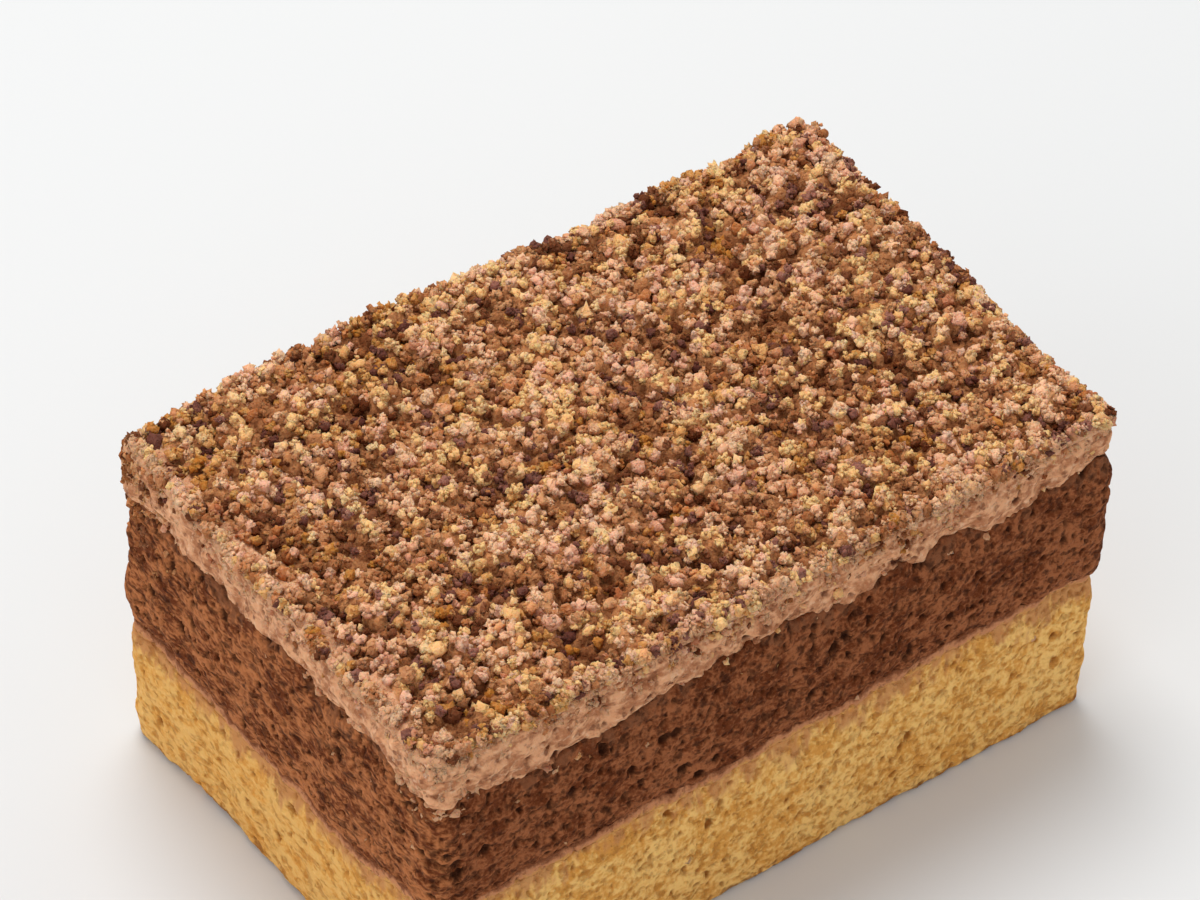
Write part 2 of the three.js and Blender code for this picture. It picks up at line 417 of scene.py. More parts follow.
class Graph:
    """The node tree of one material."""

    def __init__(self, name: str) -> None:
        """Makes a material with an empty tree.

        Args:
            name: The material's name.
        """
        self.material = bpy.data.materials.new(name)
        self.material.use_nodes = True
        self.tree = self.material.node_tree
        self.tree.nodes.clear()
        self.place = self.node("ShaderNodeTexCoord").outputs["Object"]

    def node(
        self, kind: str, settings: dict | None = None, inputs: dict | None = None
    ) -> bpy.types.Node:
        """Adds a node.

        Args:
            kind: The node's type.
            settings: Its own settings, such as an operation, which are set first.
            inputs: Values, sockets or fields for its sockets, by name or number.

        Returns:
            The new node.
        """
        made = self.tree.nodes.new(kind)
        for key, value in (settings or {}).items():
            setattr(made, key, value)
        for key, value in (inputs or {}).items():
            source = value.socket if isinstance(value, Field) else value
            if isinstance(source, bpy.types.NodeSocket):
                self.tree.links.new(source, made.inputs[key])
            else:
                made.inputs[key].default_value = source
        return made

    def attribute(self, name: str) -> Field:
        """A value that the mesh holds for each vertex."""
        node = self.node("ShaderNodeAttribute", {"attribute_name": name})
        return Field(self, node.outputs["Fac"])

    def axis(self, name: str) -> Field:
        """One coordinate of the place: X, Y or Z."""
        node = self.node("ShaderNodeSeparateXYZ", None, {0: self.place})
        return Field(self, node.outputs[name])

    def stretched(
        self, scale: tuple[float, float, float], turn: float = 0.0
    ) -> bpy.types.NodeSocket:
        """The place, scaled along each axis after a turn about X."""
        inputs = {"Vector": self.place, "Scale": scale, "Rotation": (turn, 0, 0)}
        return self.node("ShaderNodeMapping", None, inputs).outputs[0]

    def noise(
        self, length: float, detail: float = 2.0, place: bpy.types.NodeSocket | None = None
    ) -> Field:
        """Smooth noise from 0 to 1 over a length, with finer noise on it."""
        inputs = {"Vector": place or self.place, "Scale": 1 / length, "Detail": detail}
        return Field(self, self.node("ShaderNodeTexNoise", None, inputs).outputs["Fac"])

    def mix(self, share: Field | float, first: object, second: object) -> bpy.types.NodeSocket:
        """A colour between two others.

        Args:
            share: How much of the second there is.
            first: A colour or a socket.
            second: A colour or a socket.

        Returns:
            The colour's socket.
        """
        node = self.node("ShaderNodeMix", {"data_type": "RGBA"}, {0: share, 6: first, 7: second})
        return node.outputs[2]

    def finish(
        self,
        base: bpy.types.NodeSocket,
        roughness: Field | float,
        relief: Field,
        relief_depth: float,
        constants: dict[str, object],
    ) -> bpy.types.Material:
        """Joins the colour, roughness and relief to one shader.

        Args:
            base: The colour.
            roughness: The roughness.
            relief: A height from about 0 to 1 that bends the normal.
            relief_depth: What a relief of 1 is, in metres.
            constants: The shader's other sockets, by name.

        Returns:
            The finished material.
        """
        bump = self.node("ShaderNodeBump", None, {"Height": relief, "Distance": relief_depth})
        inputs = {"Base Color": base, "Roughness": roughness, "Normal": bump.outputs[0]}
        shader = self.node("ShaderNodeBsdfPrincipled", None, {**inputs, **constants})
        self.node("ShaderNodeOutputMaterial", None, {"Surface": shader.outputs[0]})
        return self.material


def soft_gloss(
    specular: float, weight: float, radius: tuple[float, float, float], scale: float
) -> dict[str, object]:
    """The shader's constants for food that light enters a little.

    Args:
        specular: The strength of the gloss.
        weight: The share of the light that goes in.
        radius: How far red, green and blue go, next to each other.
        scale: How far the light goes in, in metres.

    Returns:
        The values, by the names of the shader's sockets.
    """
    return {
        "Specular IOR Level": specular,
        "Subsurface Weight": weight,
        "Subsurface Radius": radius,
        "Subsurface Scale": scale,
    }


@dataclass(frozen=True)
class SpongeFinish:
    """Baked sponge: open air cells with painted shade inside, in a crumb of uneven colour.

    Lengths are those of the patterns. An edge is where a pattern's step starts and ends.
    """

    name: str
    light: tuple[float, ...]
    middle: tuple[float, ...]
    painted_hollow_shade: tuple[float, ...]
    stain: tuple[float, ...]
    skin: tuple[float, ...]
    painted_left_shading: tuple[float, ...]
    left_share: float
    stain_from: float
    stain_streak: float = 1.3 * MM
    stain_share: float = 0.8
    skin_height: float = 1.4 * MM
    skin_share: float = 0.75
    skin_patch: float = 1.8 * MM
    skin_raggedness: float = 5.0
    pit: float = 0.95 * MM
    pit_share: float = 0.55
    pit_edge: tuple[float, float] = (0.52, 0.3)
    speck: float = 0.7 * MM
    speck_share: float = 0.5
    speck_edge: tuple[float, float] = (0.56, 0.72)
    hollow_share: float = 0.85
    hollow_edge: tuple[float, float] = (0.05, 0.95)
    left_edge: tuple[float, float] = (-47 * MM, -50 * MM)
    grain: float = 0.5 * MM
    blotch: float = 2.2 * MM
    patch: float = 6 * MM
    tone_edge: tuple[float, float] = (0.42, 0.58)
    relief: float = 0.4 * MM
    drag: tuple[float, float, float] = (0.9, 0.5, 1.0)
    drag_slope: float = 0.2

    def material(self) -> bpy.types.Material:
        """Makes the material.

        The colour runs from middle to light by grain and patches, with light specks, and to painted
        shade in the hollows of the mesh and in finer pits of its own. The left cut takes a painted
        tint for how the light falls on that side. The stain colours the layer's top by the mesh's
        own rise from 0 to 1, in upright streaks, and the skin is the baked rim at the ground.

        Returns:
            The material.
        """
        graph = Graph(self.name)
        dragged = graph.stretched(self.drag, self.drag_slope)
        grain = graph.noise(self.grain, 3, dragged)
        blotch = graph.noise(self.blotch, 3, dragged)
        patch = graph.noise(self.patch, 3)
        pit = graph.noise(self.pit, 2.5, dragged).step(*self.pit_edge)
        speck = graph.noise(self.speck, 2).step(*self.speck_edge)
        hollow = graph.attribute("hollow").step(*self.hollow_edge)
        rise = graph.attribute("rise")

        tone = (0.4 * grain + 0.35 * blotch + 0.25 * patch).step(*self.tone_edge)
        base = graph.mix(tone, self.middle, self.light)
        left = graph.axis("X").step(*self.left_edge)
        # Painted left-side shading: a tint for how the light falls on the left cut.
        base = graph.mix(left * (self.left_share * 2) * tone, base, self.painted_left_shading)
        base = graph.mix(speck * self.speck_share, base, self.light)
        streak = graph.noise(self.stain_streak, 2, graph.stretched((1, 1, 0.3)))
        stained = (rise + 0.4 * (patch - 0.5) + 0.5 * (streak - 0.5)).step(self.stain_from, 1.0)
        base = graph.mix(stained * self.stain_share, base, self.stain)
        # Pits and the mesh's hollows take painted shade.
        base = graph.mix(pit * self.pit_share, base, self.painted_hollow_shade)
        base = graph.mix(hollow * self.hollow_share, base, self.painted_hollow_shade)
        ragged = self.skin_raggedness * (graph.noise(self.skin_patch) - 0.5)
        rim = (graph.axis("Z") / self.skin_height + ragged).step(1, 0)
        base = graph.mix(rim * self.skin_share, base, self.skin)

        relief = 0.8 * grain - 0.5 * pit
        gloss = soft_gloss(0.1, 0.12, (1.0, 0.45, 0.2), 0.8 * MM)
        return graph.finish(base, 0.84 + 0.12 * grain, relief, self.relief, gloss)


@dataclass(frozen=True)
class MousseFinish:
    """Set mousse: close and creamy, torn a little by the knife, with a soft sheen."""

    name: str
    light: tuple[float, ...]
    middle: tuple[float, ...]
    painted_hollow_shade: tuple[float, ...]
    speck_and_glint_colour: tuple[float, ...]
    streak: float = 0.9 * MM
    patch: float = 2.2 * MM
    fine: float = 0.45 * MM
    nick: float = 1.1 * MM
    nick_share: float = 0.5
    nick_edge: tuple[float, float] = (0.44, 0.28)
    speck: float = 0.8 * MM
    speck_share: float = 0.5
    speck_edge: tuple[float, float] = (0.56, 0.7)
    tone_edge: tuple[float, float] = (0.42, 0.58)
    hollow_edge: tuple[float, float] = (0.05, 0.9)
    relief: float = 0.5 * MM

    def material(self) -> bpy.types.Material:
        """Makes the material: patches, streaks and pale specks, partly painted glints, tint it, and
        nicks and hollows take painted shade.

        Returns:
            The material.
        """
        graph = Graph(self.name)
        patch = graph.noise(self.patch, 3)
        streak = graph.noise(self.streak, 2, graph.stretched((0.4, 0.4, 1)))
        fine = graph.noise(self.fine, 3)
        nick = graph.noise(self.nick, 2.5).step(*self.nick_edge)
        speck = graph.noise(self.speck, 2).step(*self.speck_edge)
        hollow = graph.attribute("hollow").step(*self.hollow_edge)

        tone = (0.5 * patch + 0.3 * streak + 0.2 * fine).step(*self.tone_edge)
        base = graph.mix(tone, self.middle, self.light)
        # Pale specks, partly painted glints; nicks and hollows take painted shade.
        base = graph.mix(speck * self.speck_share, base, self.speck_and_glint_colour)
        base = graph.mix(nick * self.nick_share, base, self.painted_hollow_shade)
        base = graph.mix(hollow, base, self.painted_hollow_shade)

        relief = 0.5 * streak + 0.6 * fine - 0.4 * nick
        gloss = soft_gloss(0.25, 0.2, (1.0, 0.5, 0.3), 1.0 * MM)
        return graph.finish(base, 0.6 + 0.3 * fine, relief, self.relief, gloss)


@dataclass(frozen=True)
class SeamFinish:
    """The moist seam between two sponges, which runs from the one's colour to the other's."""

    name: str
    below: tuple[float, ...]
    middle: tuple[float, ...]
    above: tuple[float, ...]
    patch: float = 2.4 * MM
    fine: float = 0.5 * MM
    pit: float = 0.9 * MM
    pit_share: float = 0.45
    pit_edge: tuple[float, float] = (0.45, 0.32)
    hollow_share: float = 0.8
    hollow_edge: tuple[float, float] = (0.05, 0.95)
    lower_edge: tuple[float, float] = (-0.1, 0.45)
    upper_edge: tuple[float, float] = (0.45, 1.0)
    relief: float = 0.35 * MM

    def material(self) -> bpy.types.Material:
        """Makes the material: its three colours follow each other up the seam, raggedly, and pits
        and hollows take the upper colour as painted shade.

        Returns:
            The material.
        """
        graph = Graph(self.name)
        patch = graph.noise(self.patch, 3)
        fine = graph.noise(self.fine, 3)
        pit = graph.noise(self.pit, 1.5).step(*self.pit_edge)
        hollow = graph.attribute("hollow").step(*self.hollow_edge)
        level = graph.attribute("rise") + 1.5 * (patch - 0.5) + 0.7 * (fine - 0.5)

        base = graph.mix(level.step(*self.lower_edge), self.below, self.middle)
        base = graph.mix(level.step(*self.upper_edge), base, self.above)
        # Pits and hollows take the darker upper colour: painted shade in the recesses.
        base = graph.mix(pit * self.pit_share, base, self.above)
        base = graph.mix(hollow * self.hollow_share, base, self.above)

        relief = fine - 0.5 * pit
        gloss = soft_gloss(0.15, 0.15, (1.0, 0.5, 0.25), 0.8 * MM)
        return graph.finish(base, 0.75 + 0.2 * fine, relief, self.relief, gloss)


@dataclass(frozen=True)
class CrumbFinish:
    """Dry cake crumbs whose colour differs from crumb to crumb and carries painted shade between
    the heaps.
    """

    name: str
    dark: tuple[float, ...]
    light: tuple[float, ...]
    smear: tuple[float, ...]
    grain: float = 0.45 * MM
    pit: float = 0.6 * MM
    pit_share: float = 0.35
    pit_edge: tuple[float, float] = (0.44, 0.3)
    tone_edge: tuple[float, float] = (-0.1, 1.1)
    smear_edge: tuple[float, float] = (0.35, 0.75)
    relief: float = 0.4 * MM

    def material(self) -> bpy.types.Material:
        """Makes the material: each crumb's tone with its painted shade, painted shade in pits,
        a torn relief, and smears of mousse.

        Returns:
            The material.
        """
        graph = Graph(self.name)
        grain = graph.noise(self.grain, 4)
        pit = graph.noise(self.pit, 1).step(*self.pit_edge)
        tone = graph.attribute("tone") + 0.9 * (grain - 0.5)
        smear = graph.attribute("smear") + 0.8 * (grain - 0.5)

        # The tone attribute carries painted shade as well as the crumb's own tone.
        base = graph.mix(tone.step(*self.tone_edge), self.dark, self.light)
        # Pits take painted shade.
        base = graph.mix(pit * self.pit_share, base, self.dark)
        base = graph.mix(smear.step(*self.smear_edge), base, self.smear)

        relief = grain - 0.5 * pit
        gloss = soft_gloss(0.08, 0.4, (1.0, 0.5, 0.25), 0.7 * MM)
        return graph.finish(base, 0.82 + 0.12 * grain, relief, self.relief, gloss)


Finish = SpongeFinish | MousseFinish | SeamFinish | CrumbFinish

MOUSSE_SMEAR = colour(219, 164, 125)


class Crumb(Enum):
    """The kinds of crumb.

    Each has its share of the coat, its darkest and lightest colour, how much commoner it is
    where painted shade lies on the coat, and how much commoner where it is golden. The darkest
    colours also stand for the painted shade that the tone reaches between the heaps.
    """

    GOLDEN = ("golden", 0.25, (182, 114, 44), (252, 196, 134), 0.0, 1.0)
    STRAW = ("straw", 0.09, (186, 120, 50), (252, 200, 146), 0.0, 1.0)
    TAN = ("tan", 0.27, (182, 110, 58), (250, 192, 152), 0.0, -1.0)
    ROSE = ("rose", 0.12, (174, 102, 62), (244, 184, 152), 0.0, -1.0)
    BROWN = ("brown", 0.18, (148, 86, 46), (214, 154, 108), 1.1, 0.0)
    DARK = ("dark", 0.06, (92, 44, 20), (152, 98, 66), 2.0, 0.0)
    PLUM = ("plum", 0.05, (92, 50, 40), (156, 104, 88), 2.0, 0.0)
    ORANGE = ("orange", 0.015, (178, 104, 56), (234, 168, 116), 0.0, 0.0)

    def __init__(
        self,
        word: str,
        share: float,
        dark: tuple[int, int, int],
        light: tuple[int, int, int],
        painted_shade: float,
        gold: float,
    ) -> None:
        """Keeps the kind's own values and makes its finish.

        Args:
            word: What it is called.
            share: Its share of the coat.
            dark: Its darkest colour.
            light: Its lightest colour.
            painted_shade: The power of its growth with the coat's painted shade.
            gold: The power of its growth with the coat's gold.
        """
        self.word = word
        self.share = share
        self.painted_shade = painted_shade
        self.gold = gold
        self.finish = CrumbFinish(f"crumb_{word}", colour(*dark), colour(*light), MOUSSE_SMEAR)


# ---- The slice's own form, as on its solids ----


@dataclass(frozen=True)
class Plan:
    """The slice seen from above: a rounded rectangle whose ends splay towards the back.

    The corner radii go anticlockwise from the front right corner to the front left one.
    """

    length: float = 100 * MM
    width: float = 65 * MM
    back_splay: float = 1.3 * MM
    corner_radii: tuple[float, float, float, float] = (1.3 * MM, 2.0 * MM, 1.1 * MM, 2.5 * MM)

    def splayed(self, x: Array, y: Array) -> Array:
        """The x of a point of the plain rectangle once its two ends splay."""
        wider = self.back_splay * (y + self.width / 2) / self.width
        return x * (1 + wider / (self.length / 2))

    def corners(self) -> tuple[Array, Array]:
        """Works out the quarter circles of the corners.

        Returns:
            Their radii and their centres.
        """
        radii = np.array(self.corner_radii)
        signs = np.array([(1, -1), (1, 1), (-1, 1), (-1, -1)])
        return radii, signs * (np.array([self.length, self.width]) / 2 - radii[:, None])

    def outline(self, along: Array) -> tuple[Array, Array]:
        """Points of the outline and their outward normals.

        The outline is four quarter circles, each followed by a straight side. A place is found
        by its distance along them, anticlockwise from the start of the first quarter circle.

        Args:
            along: Shares of the way round, from 0 to 1.

        Returns:
            The points and the normals, with x and y along the last axis.
        """
        radii, centres = self.corners()
        sides = np.abs(np.roll(centres, -1, axis=0) - centres)
        straight = np.array([sides[0, 1], sides[1, 0], sides[2, 1], sides[3, 0]])
        ends = np.cumsum(np.stack([math.pi / 2 * radii, straight], axis=-1).ravel())
        distance = (along % 1) * ends[-1]
        stretch = np.searchsorted(ends, distance, side="right")
        within = distance - np.concatenate([[0], ends])[stretch]
        corner = stretch // 2
        radius = radii[corner]
        bent = stretch % 2 == 0
        turn = np.where(bent, within / radius, math.pi / 2) + (corner - 1) * math.pi / 2
        normal = np.stack([np.cos(turn), np.sin(turn)], axis=-1)
        ahead = np.stack([-np.sin(turn), np.cos(turn)], axis=-1)
        points = centres[corner] + radius[:, None] * normal
        points += np.where(bent, 0, within)[:, None] * ahead
        points[:, 0] = self.splayed(points[:, 0], points[:, 1])
        return points, normal

    def within_corners(self, points: Array) -> Array:
        """Draws the points of a plain rectangle that lie outside its rounded corners in.

        Args:
            points: Places in the rectangle, with x and y along the last axis.

        Returns:
            The places, all inside the rounded rectangle.
        """
        radii, centres = self.corners()
        right, back = points[:, 0] > 0, points[:, 1] > 0
        corner = np.where(right, np.where(back, 1, 0), np.where(back, 2, 3))
        centre, radius = centres[corner], radii[corner, None]
        away = points - centre
        distance = np.linalg.norm(away, axis=-1, keepdims=True)
        outside = np.all(away * centre > 0, axis=-1, keepdims=True) & (distance > radius)
        pull = radius / np.maximum(distance, 1e-9)
        return np.where(outside, centre + away * pull, points)

    def edge_distance(self, points: Array) -> Array:
        """How far inside the plain rectangle each point is."""
        half = np.array([self.length, self.width]) / 2
        return np.min(half - np.abs(points), axis=-1)


@dataclass(frozen=True)
class Swelling:
    """A place where the slice stands out further, fading round it, in the plan or in space."""

    at: tuple[float, ...]
    reach: float
    spread: float | tuple[float, ...]

    def out(self, points: Array) -> Array:
        """How far it stands out at points: its reach times exp(-(away/spread)^2)."""
        away = (points[..., : len(self.at)] - np.array(self.at)) / np.array(self.spread)
        return self.reach * np.exp(-np.sum(away**2, axis=-1))


@dataclass(frozen=True)
class Stack:
    """The surfaces between the layers, as heights over the plan."""

    plan: Plan
    seam_bottom_mean: float = 23.3 * MM
    seam_thickness: float = 1.7 * MM
    seam_dip: float = 4 * MM
    dip_from: float = 0.3
    dip_run: float = 20 * MM
    dip_depth: float = 24 * MM
    seam_wave: Wave = Wave(0.3 * MM, 19 * MM)
    seam_grain: float = 2.2 * MM
    seam_top_wave: Wave = Wave(0.2 * MM, 14 * MM)
    seam_top_grain: Wave = Wave(0.7 * MM, 2.6 * MM)
    mousse_bottom_mean: float = 43.6 * MM
    mousse_wave: Wave = Wave(0.8 * MM, 23 * MM)
    mousse_cross_wave: Wave = Wave(0.5 * MM, 12 * MM)
    scallop: Wave = Wave(0.6 * MM, 4.5 * MM)
    scallop_edge: Wave = Wave(0.9 * MM, 1.6 * MM)
    drip: float = 2.2 * MM
    drip_at: tuple[float, float] = (-33 * MM, -34 * MM)
    drip_spread: float = 9 * MM
    left_rise: Swelling = Swelling((-50 * MM, -20 * MM), 1.8 * MM, 12 * MM)
    crumb_bottom_mean: float = 50.5 * MM
    mounds: tuple[Swelling, ...] = (
        Swelling((-15 * MM, 31 * MM), 1.3 * MM, 11 * MM),
        Swelling((-33 * MM, 32 * MM), 1.2 * MM, 7 * MM),
        Swelling((17 * MM, 32 * MM), -1.2 * MM, 9 * MM),
        Swelling((40 * MM, 32 * MM), -1.4 * MM, 8 * MM),
        Swelling((51 * MM, -18 * MM), -1.6 * MM, 12 * MM),
    )
    overlap: float = 0.05 * MM

    def seam_bottom(self, x: Array, y: Array) -> Array:
        """The top of the vanilla sponge: level, but lower towards the back of the left cut.

        Args:
            x: Places along the slice.
            y: Places across it.

        Returns:
            One height for each place.
        """
        back = smooth_step(y + self.plan.width / 2, 0, self.dip_depth)
        left = smooth_step(-x - self.dip_from * self.plan.length, 0, self.dip_run)
        dip = self.seam_dip * left * back
        place = np.stack([x, y, 0 * x], axis=-1)
        wave = ripple(x, y, self.seam_wave.length)
        wave = wave + rough_noise(place, self.seam_grain, 2, Chance.SEAM_LOW)
        return self.seam_bottom_mean - dip + self.seam_wave.height * wave

    def seam_top(self, x: Array, y: Array) -> Array:
        """The underside of the chocolate sponge, a thin seam higher.

        Args:
            x: Places along the slice.
            y: Places across it.

        Returns:
            One height for each place.
        """
        place = np.stack([x, y, 0 * x], axis=-1)
        grain, wave = self.seam_top_grain, self.seam_top_wave
        fine = grain.height * rough_noise(place, grain.length, 3, Chance.SEAM_HIGH)
        uneven = wave.height * ripple(y, x, wave.length) + fine
        return self.seam_bottom(x, y) + self.seam_thickness + uneven

    def mousse_bottom(self, x: Array, y: Array) -> Array:
        """The top of the chocolate sponge: waves, scallops, and a hollow near the front corner.

        On the left cut it is higher.

        Args:
            x: Places along the slice.
            y: Places across it.

        Returns:
            One height for each place.
        """
        away = np.hypot(x - self.drip_at[0], y - self.drip_at[1]) / self.drip_spread
        wave, cross = self.mousse_wave, self.mousse_cross_wave
        waves = wave.height * ripple(x, y, wave.length) + cross.height * ripple(y, x, cross.length)
        place = np.stack([x, y, 0 * x], axis=-1)
        broad, fine = self.scallop, self.scallop_edge
        scallops = broad.height * smooth_noise(place, broad.length, Chance.SCALLOPS)
        scallops += fine.height * rough_noise(place, fine.length, 3, Chance.SCALLOP_EDGE)
        waves += self.left_rise.out(place)
        return self.mousse_bottom_mean - self.drip * np.exp(-(away**2)) + waves + scallops

    def mound(self, points: Array) -> Array:
        """How far the slice's top is over its mean height at points of the plan."""
        return sum(mound.out(points) for mound in self.mounds)

    def crumb_bottom(self, x: Array, y: Array) -> Array:
        """The top of the mousse, which is level but for the places where the slice sags."""
        return self.crumb_bottom_mean + np.minimum(self.mound(np.stack([x, y], axis=-1)), 0)

    def ground(self, x: Array, y: Array) -> Array:
        """The surface that the slice stands on."""
        return np.full(np.shape(x), self.overlap)


# ---- The layers ----


@dataclass
class Layer:
    """One layer of the slice, cut on all sides: its faces are a fine grid with real relief."""

    name: str
    node: str
    slot: str
    finish: Finish
    stack: Stack
    low: Surface
    high: Surface
    bulge: float
    step: float = 0.29 * MM
    crag: Wave = Wave(0.4 * MM, 4 * MM)
    lump: Wave = Wave(0.15 * MM, 1.3 * MM)
    knife: Wave = Wave(0.15 * MM, 1.0 * MM)
    knife_slope: float = 0.2
    knife_stretch: tuple[float, float, float] = (0.45, 0.35, 1)
    hidden_ring: float = 0.8
    base_rounding: float = 0.0
    full_depth: float = 0.6 * MM
    swellings: tuple[Swelling, ...] = ()
    fullness: float = 4.0

    def wall(self) -> tuple[Array, Array, Array]:
        """The cut faces before their relief: rings between the two surfaces, over the outline.

        Returns:
            The points by row and column, the outward normals, and the rise from 0 to 1.
        """
        plan = self.stack.plan
        around = 2 * (plan.length + plan.width)
        columns = int(around / self.step)
        line, normal = plan.outline(np.arange(columns) / columns)
        x, y = line.T
        low = self.low(x, y) - self.stack.overlap
        high = self.high(x, y) + self.stack.overlap
        rows = int(np.mean(high - low) / self.step)
        rise = np.linspace(0, 1, rows + 1)[:, None]
        z = lerp(low, high, rise)
        points = np.stack([np.broadcast_to(x, z.shape), np.broadcast_to(y, z.shape), z], axis=-1)
        outward = np.concatenate([normal, np.zeros((columns, 1))], axis=-1)
        return points, np.broadcast_to(outward, points.shape), np.broadcast_to(rise, z.shape)

    def hollows(self, points: Array, rise: Array) -> Array:
        """How deep the open air cells are at each point. A plain layer has none."""
        return np.zeros(points.shape[:-1])

    def knife_marks(self, points: Array) -> Array:
        """The marks of the knife: noise drawn out along the layers, a little downhill.

        Args:
            points: Places on the face.

        Returns:
            How far the face stands out at each place.
        """
        sheared = points.copy()
        sheared[..., 2] += self.knife_slope * (points[..., 1] - points[..., 0])
        drawn = rough_noise(sheared * self.knife_stretch, self.knife.length, 2, Chance.KNIFE)
        return self.knife.height * drawn

    def rounding(self, z: Array) -> Array:
        """How far a quarter circle draws the face in above the ground.

        Args:
            z: Heights.

        Returns:
            One distance for each height.
        """
        if self.base_rounding == 0:
            return np.zeros(z.shape)
        below = np.clip(1 - z / self.base_rounding, 0, 1)
        return self.base_rounding * (1 - np.sqrt(1 - below**2))

    def build(self) -> bpy.types.Object:
        """Makes the piece: the cut faces with their relief, closed by the hidden faces.

        Each point moves along its outward normal by the swellings, plus a bulge, which is full
        up most of the face by 1 - |2 * rise - 1| to the power of the fullness, plus crags, lumps
        and knife marks of noise, less the depth of the air cells.

        Returns:
            The piece.
        """
        points, outward, rise = self.wall()
        columns = rise.shape[1]
        offset = self.bulge * (1 - np.abs(2 * rise - 1) ** self.fullness)
        offset = offset + sum(swelling.out(points) for swelling in self.swellings)
        offset = offset - self.rounding(points[..., 2]) + self.knife_marks(points)
        crags = rough_noise(points, self.crag.length, 2, Chance.CRAGS)
        lumps = rough_noise(points, self.lump.length, 3, Chance.LUMPS)
        offset = offset + self.crag.height * crags
        offset = offset + self.lump.height * lumps
        hollow = self.hollows(points, rise)
        offset = offset - hollow
        moved = points + offset[..., None] * outward

        inner = points[0, :, :2] * self.hidden_ring
        lower = np.column_stack([inner, self.low(*inner.T) - self.stack.overlap])
        upper = np.column_stack([inner, self.high(*inner.T) + self.stack.overlap])
        middle = np.zeros(1)
        foot = [0, 0, self.low(middle, middle)[0] - self.stack.overlap]
        head = [0, 0, self.high(middle, middle)[0] + self.stack.overlap]
        rings = np.concatenate([lower[None], moved, upper[None]])
        vertices = np.concatenate([[foot], rings.reshape(-1, 3), [head]])

        def padded(values: Array) -> Array:
            """Adds the hidden faces' values to the wall's.

            Args:
                values: The wall's values by row and column.

            Returns:
                One value for each vertex.
            """
            low_end, high_end = values[0, 0], values[-1, 0]
            ends = np.full(columns, low_end), np.full(columns, high_end)
            return np.concatenate([[low_end], ends[0], values.ravel(), ends[1], [high_end]])

        attributes = {"rise": padded(rise), "hollow": padded(hollow / self.full_depth)}
        faces = shell_faces(len(rings), columns)
        return piece_of(self.name, vertices, faces, attributes, smooth=True)


@dataclass
class Sponge(Layer):
    """A layer of sponge, with air cells of several sizes cut open on its faces."""

    cells: tuple[Balls, ...] = ()
    top_voids: Balls | None = None
    voids_edge: tuple[float, float] = (0.84, 0.97)
    bend: Wave = Wave(0.28 * MM, 0.8 * MM)

    def hollows(self, points: Array, rise: Array) -> Array:
        """The deepest of all the sizes of air cell, moved about a little so that none is round.

        The voids under the next layer come in only near the top of this one.

        Args:
            points: Places on the face.
            rise: How far up the layer they are, from 0 to 1.

        Returns:
            One depth for each place.
        """
        bent = wandered(points, self.bend, Chance.CELL_BEND)
        depths = [balls.depth(bent) for balls in self.cells]
        if self.top_voids is not None:
            depths.append(self.top_voids.depth(bent) * smooth_step(rise, *self.voids_edge))
        return np.max(depths, axis=0)


@dataclass
class Mousse(Layer):
    """A layer of mousse, torn a little by the cut."""

    nicks: tuple[Balls, ...] = (
        Balls(1.3 * MM, 0.2 * MM, 0.5 * MM, 0.6, Chance.NICKS_FINE),
        Balls(2.8 * MM, 0.4 * MM, 0.9 * MM, 0.4, Chance.NICKS_COARSE),
    )
    bend: Wave = Wave(0.3 * MM, 0.8 * MM)

    def hollows(self, points: Array, rise: Array) -> Array:
        """The bubbles and tears that the cut has opened, of two sizes."""
        bent = wandered(points, self.bend, Chance.NICK_BEND)
        return np.max([balls.depth(bent) for balls in self.nicks], axis=0)


# ---- The crumb coat ----


@dataclass(frozen=True)
class ShadePatches:
    """Places on the coat that lie lower and carry painted shade, or stand higher and carry painted
    light.

    Each place is its x and y in millimetres.
    """

    dark: tuple[tuple[float, float], ...] = (
        (30, 11), (25, 5), (25, -6), (-1, -3), (4, -7), (14, 0), (15, -30), (25, -21), (44, -12),
        (34, -10), (45, 16), (-24, -4), (-26, -26), (-40, -28), (-45, -7), (-45, -17), (-17, 19),
        (-21, 29), (-25, 20), (1, -14), (-41, 27), (-38, -4), (-29, -13), (-18, -20),
    )
    light: tuple[tuple[float, float], ...] = (
        (18, 13), (36, 17), (-2, 15), (-24, 9), (-27, 1), (8, -7), (-15, -14), (24, -15),
        (35, -3), (-20, -28), (-43, 15), (-4, -11),
    )
    spread: float = 2.8 * MM

    def shade(self, points: Array) -> Array:
        """How much painted shade the coat carries.

        This is exp(-(away/spread)^2) summed over the dark places, less that over the light ones.

        Args:
            points: Places on the coat.

        Returns:
            One value for each place, and 0 far from all of them.
        """

        def nearness(places: tuple[tuple[float, float], ...]) -> Array:
            """The sum over one set of places."""
            away = points[:, None, :2] - np.array(places) * MM
            return np.exp(-np.sum(away**2, axis=-1) / self.spread**2).sum(axis=1)

        return nearness(self.dark) - nearness(self.light)


@dataclass(frozen=True)
class PaintedShade:
    """Painted shade on the coat: by the shade patches, by broad noise, and darker between the heaps
    of crumbs than on them.
    """

    patches: ShadePatches = ShadePatches()
    broad: Wave = Wave(0.35, 5 * MM)
    between: float = 0.6
    on_heaps: float = 0.8

    def at(self, points: Array, flat: Array, heap: Array) -> Array:
        """How much painted shade each point carries: 0 on average, less on the heaps and more
        between them.

        Args:
            points: Places on the coat.
            flat: The same places at a height of 0.
            heap: How far up a heap each is, in metres.

        Returns:
            One value for each place.
        """
        broad = self.broad.height * smooth_noise(flat, self.broad.length, Chance.BROAD_SHADE_NOISE)
        # Painted shade in the gaps between the heaps, and painted light on their tops.
        return self.patches.shade(points) + broad + self.between - self.on_heaps * heap / MM


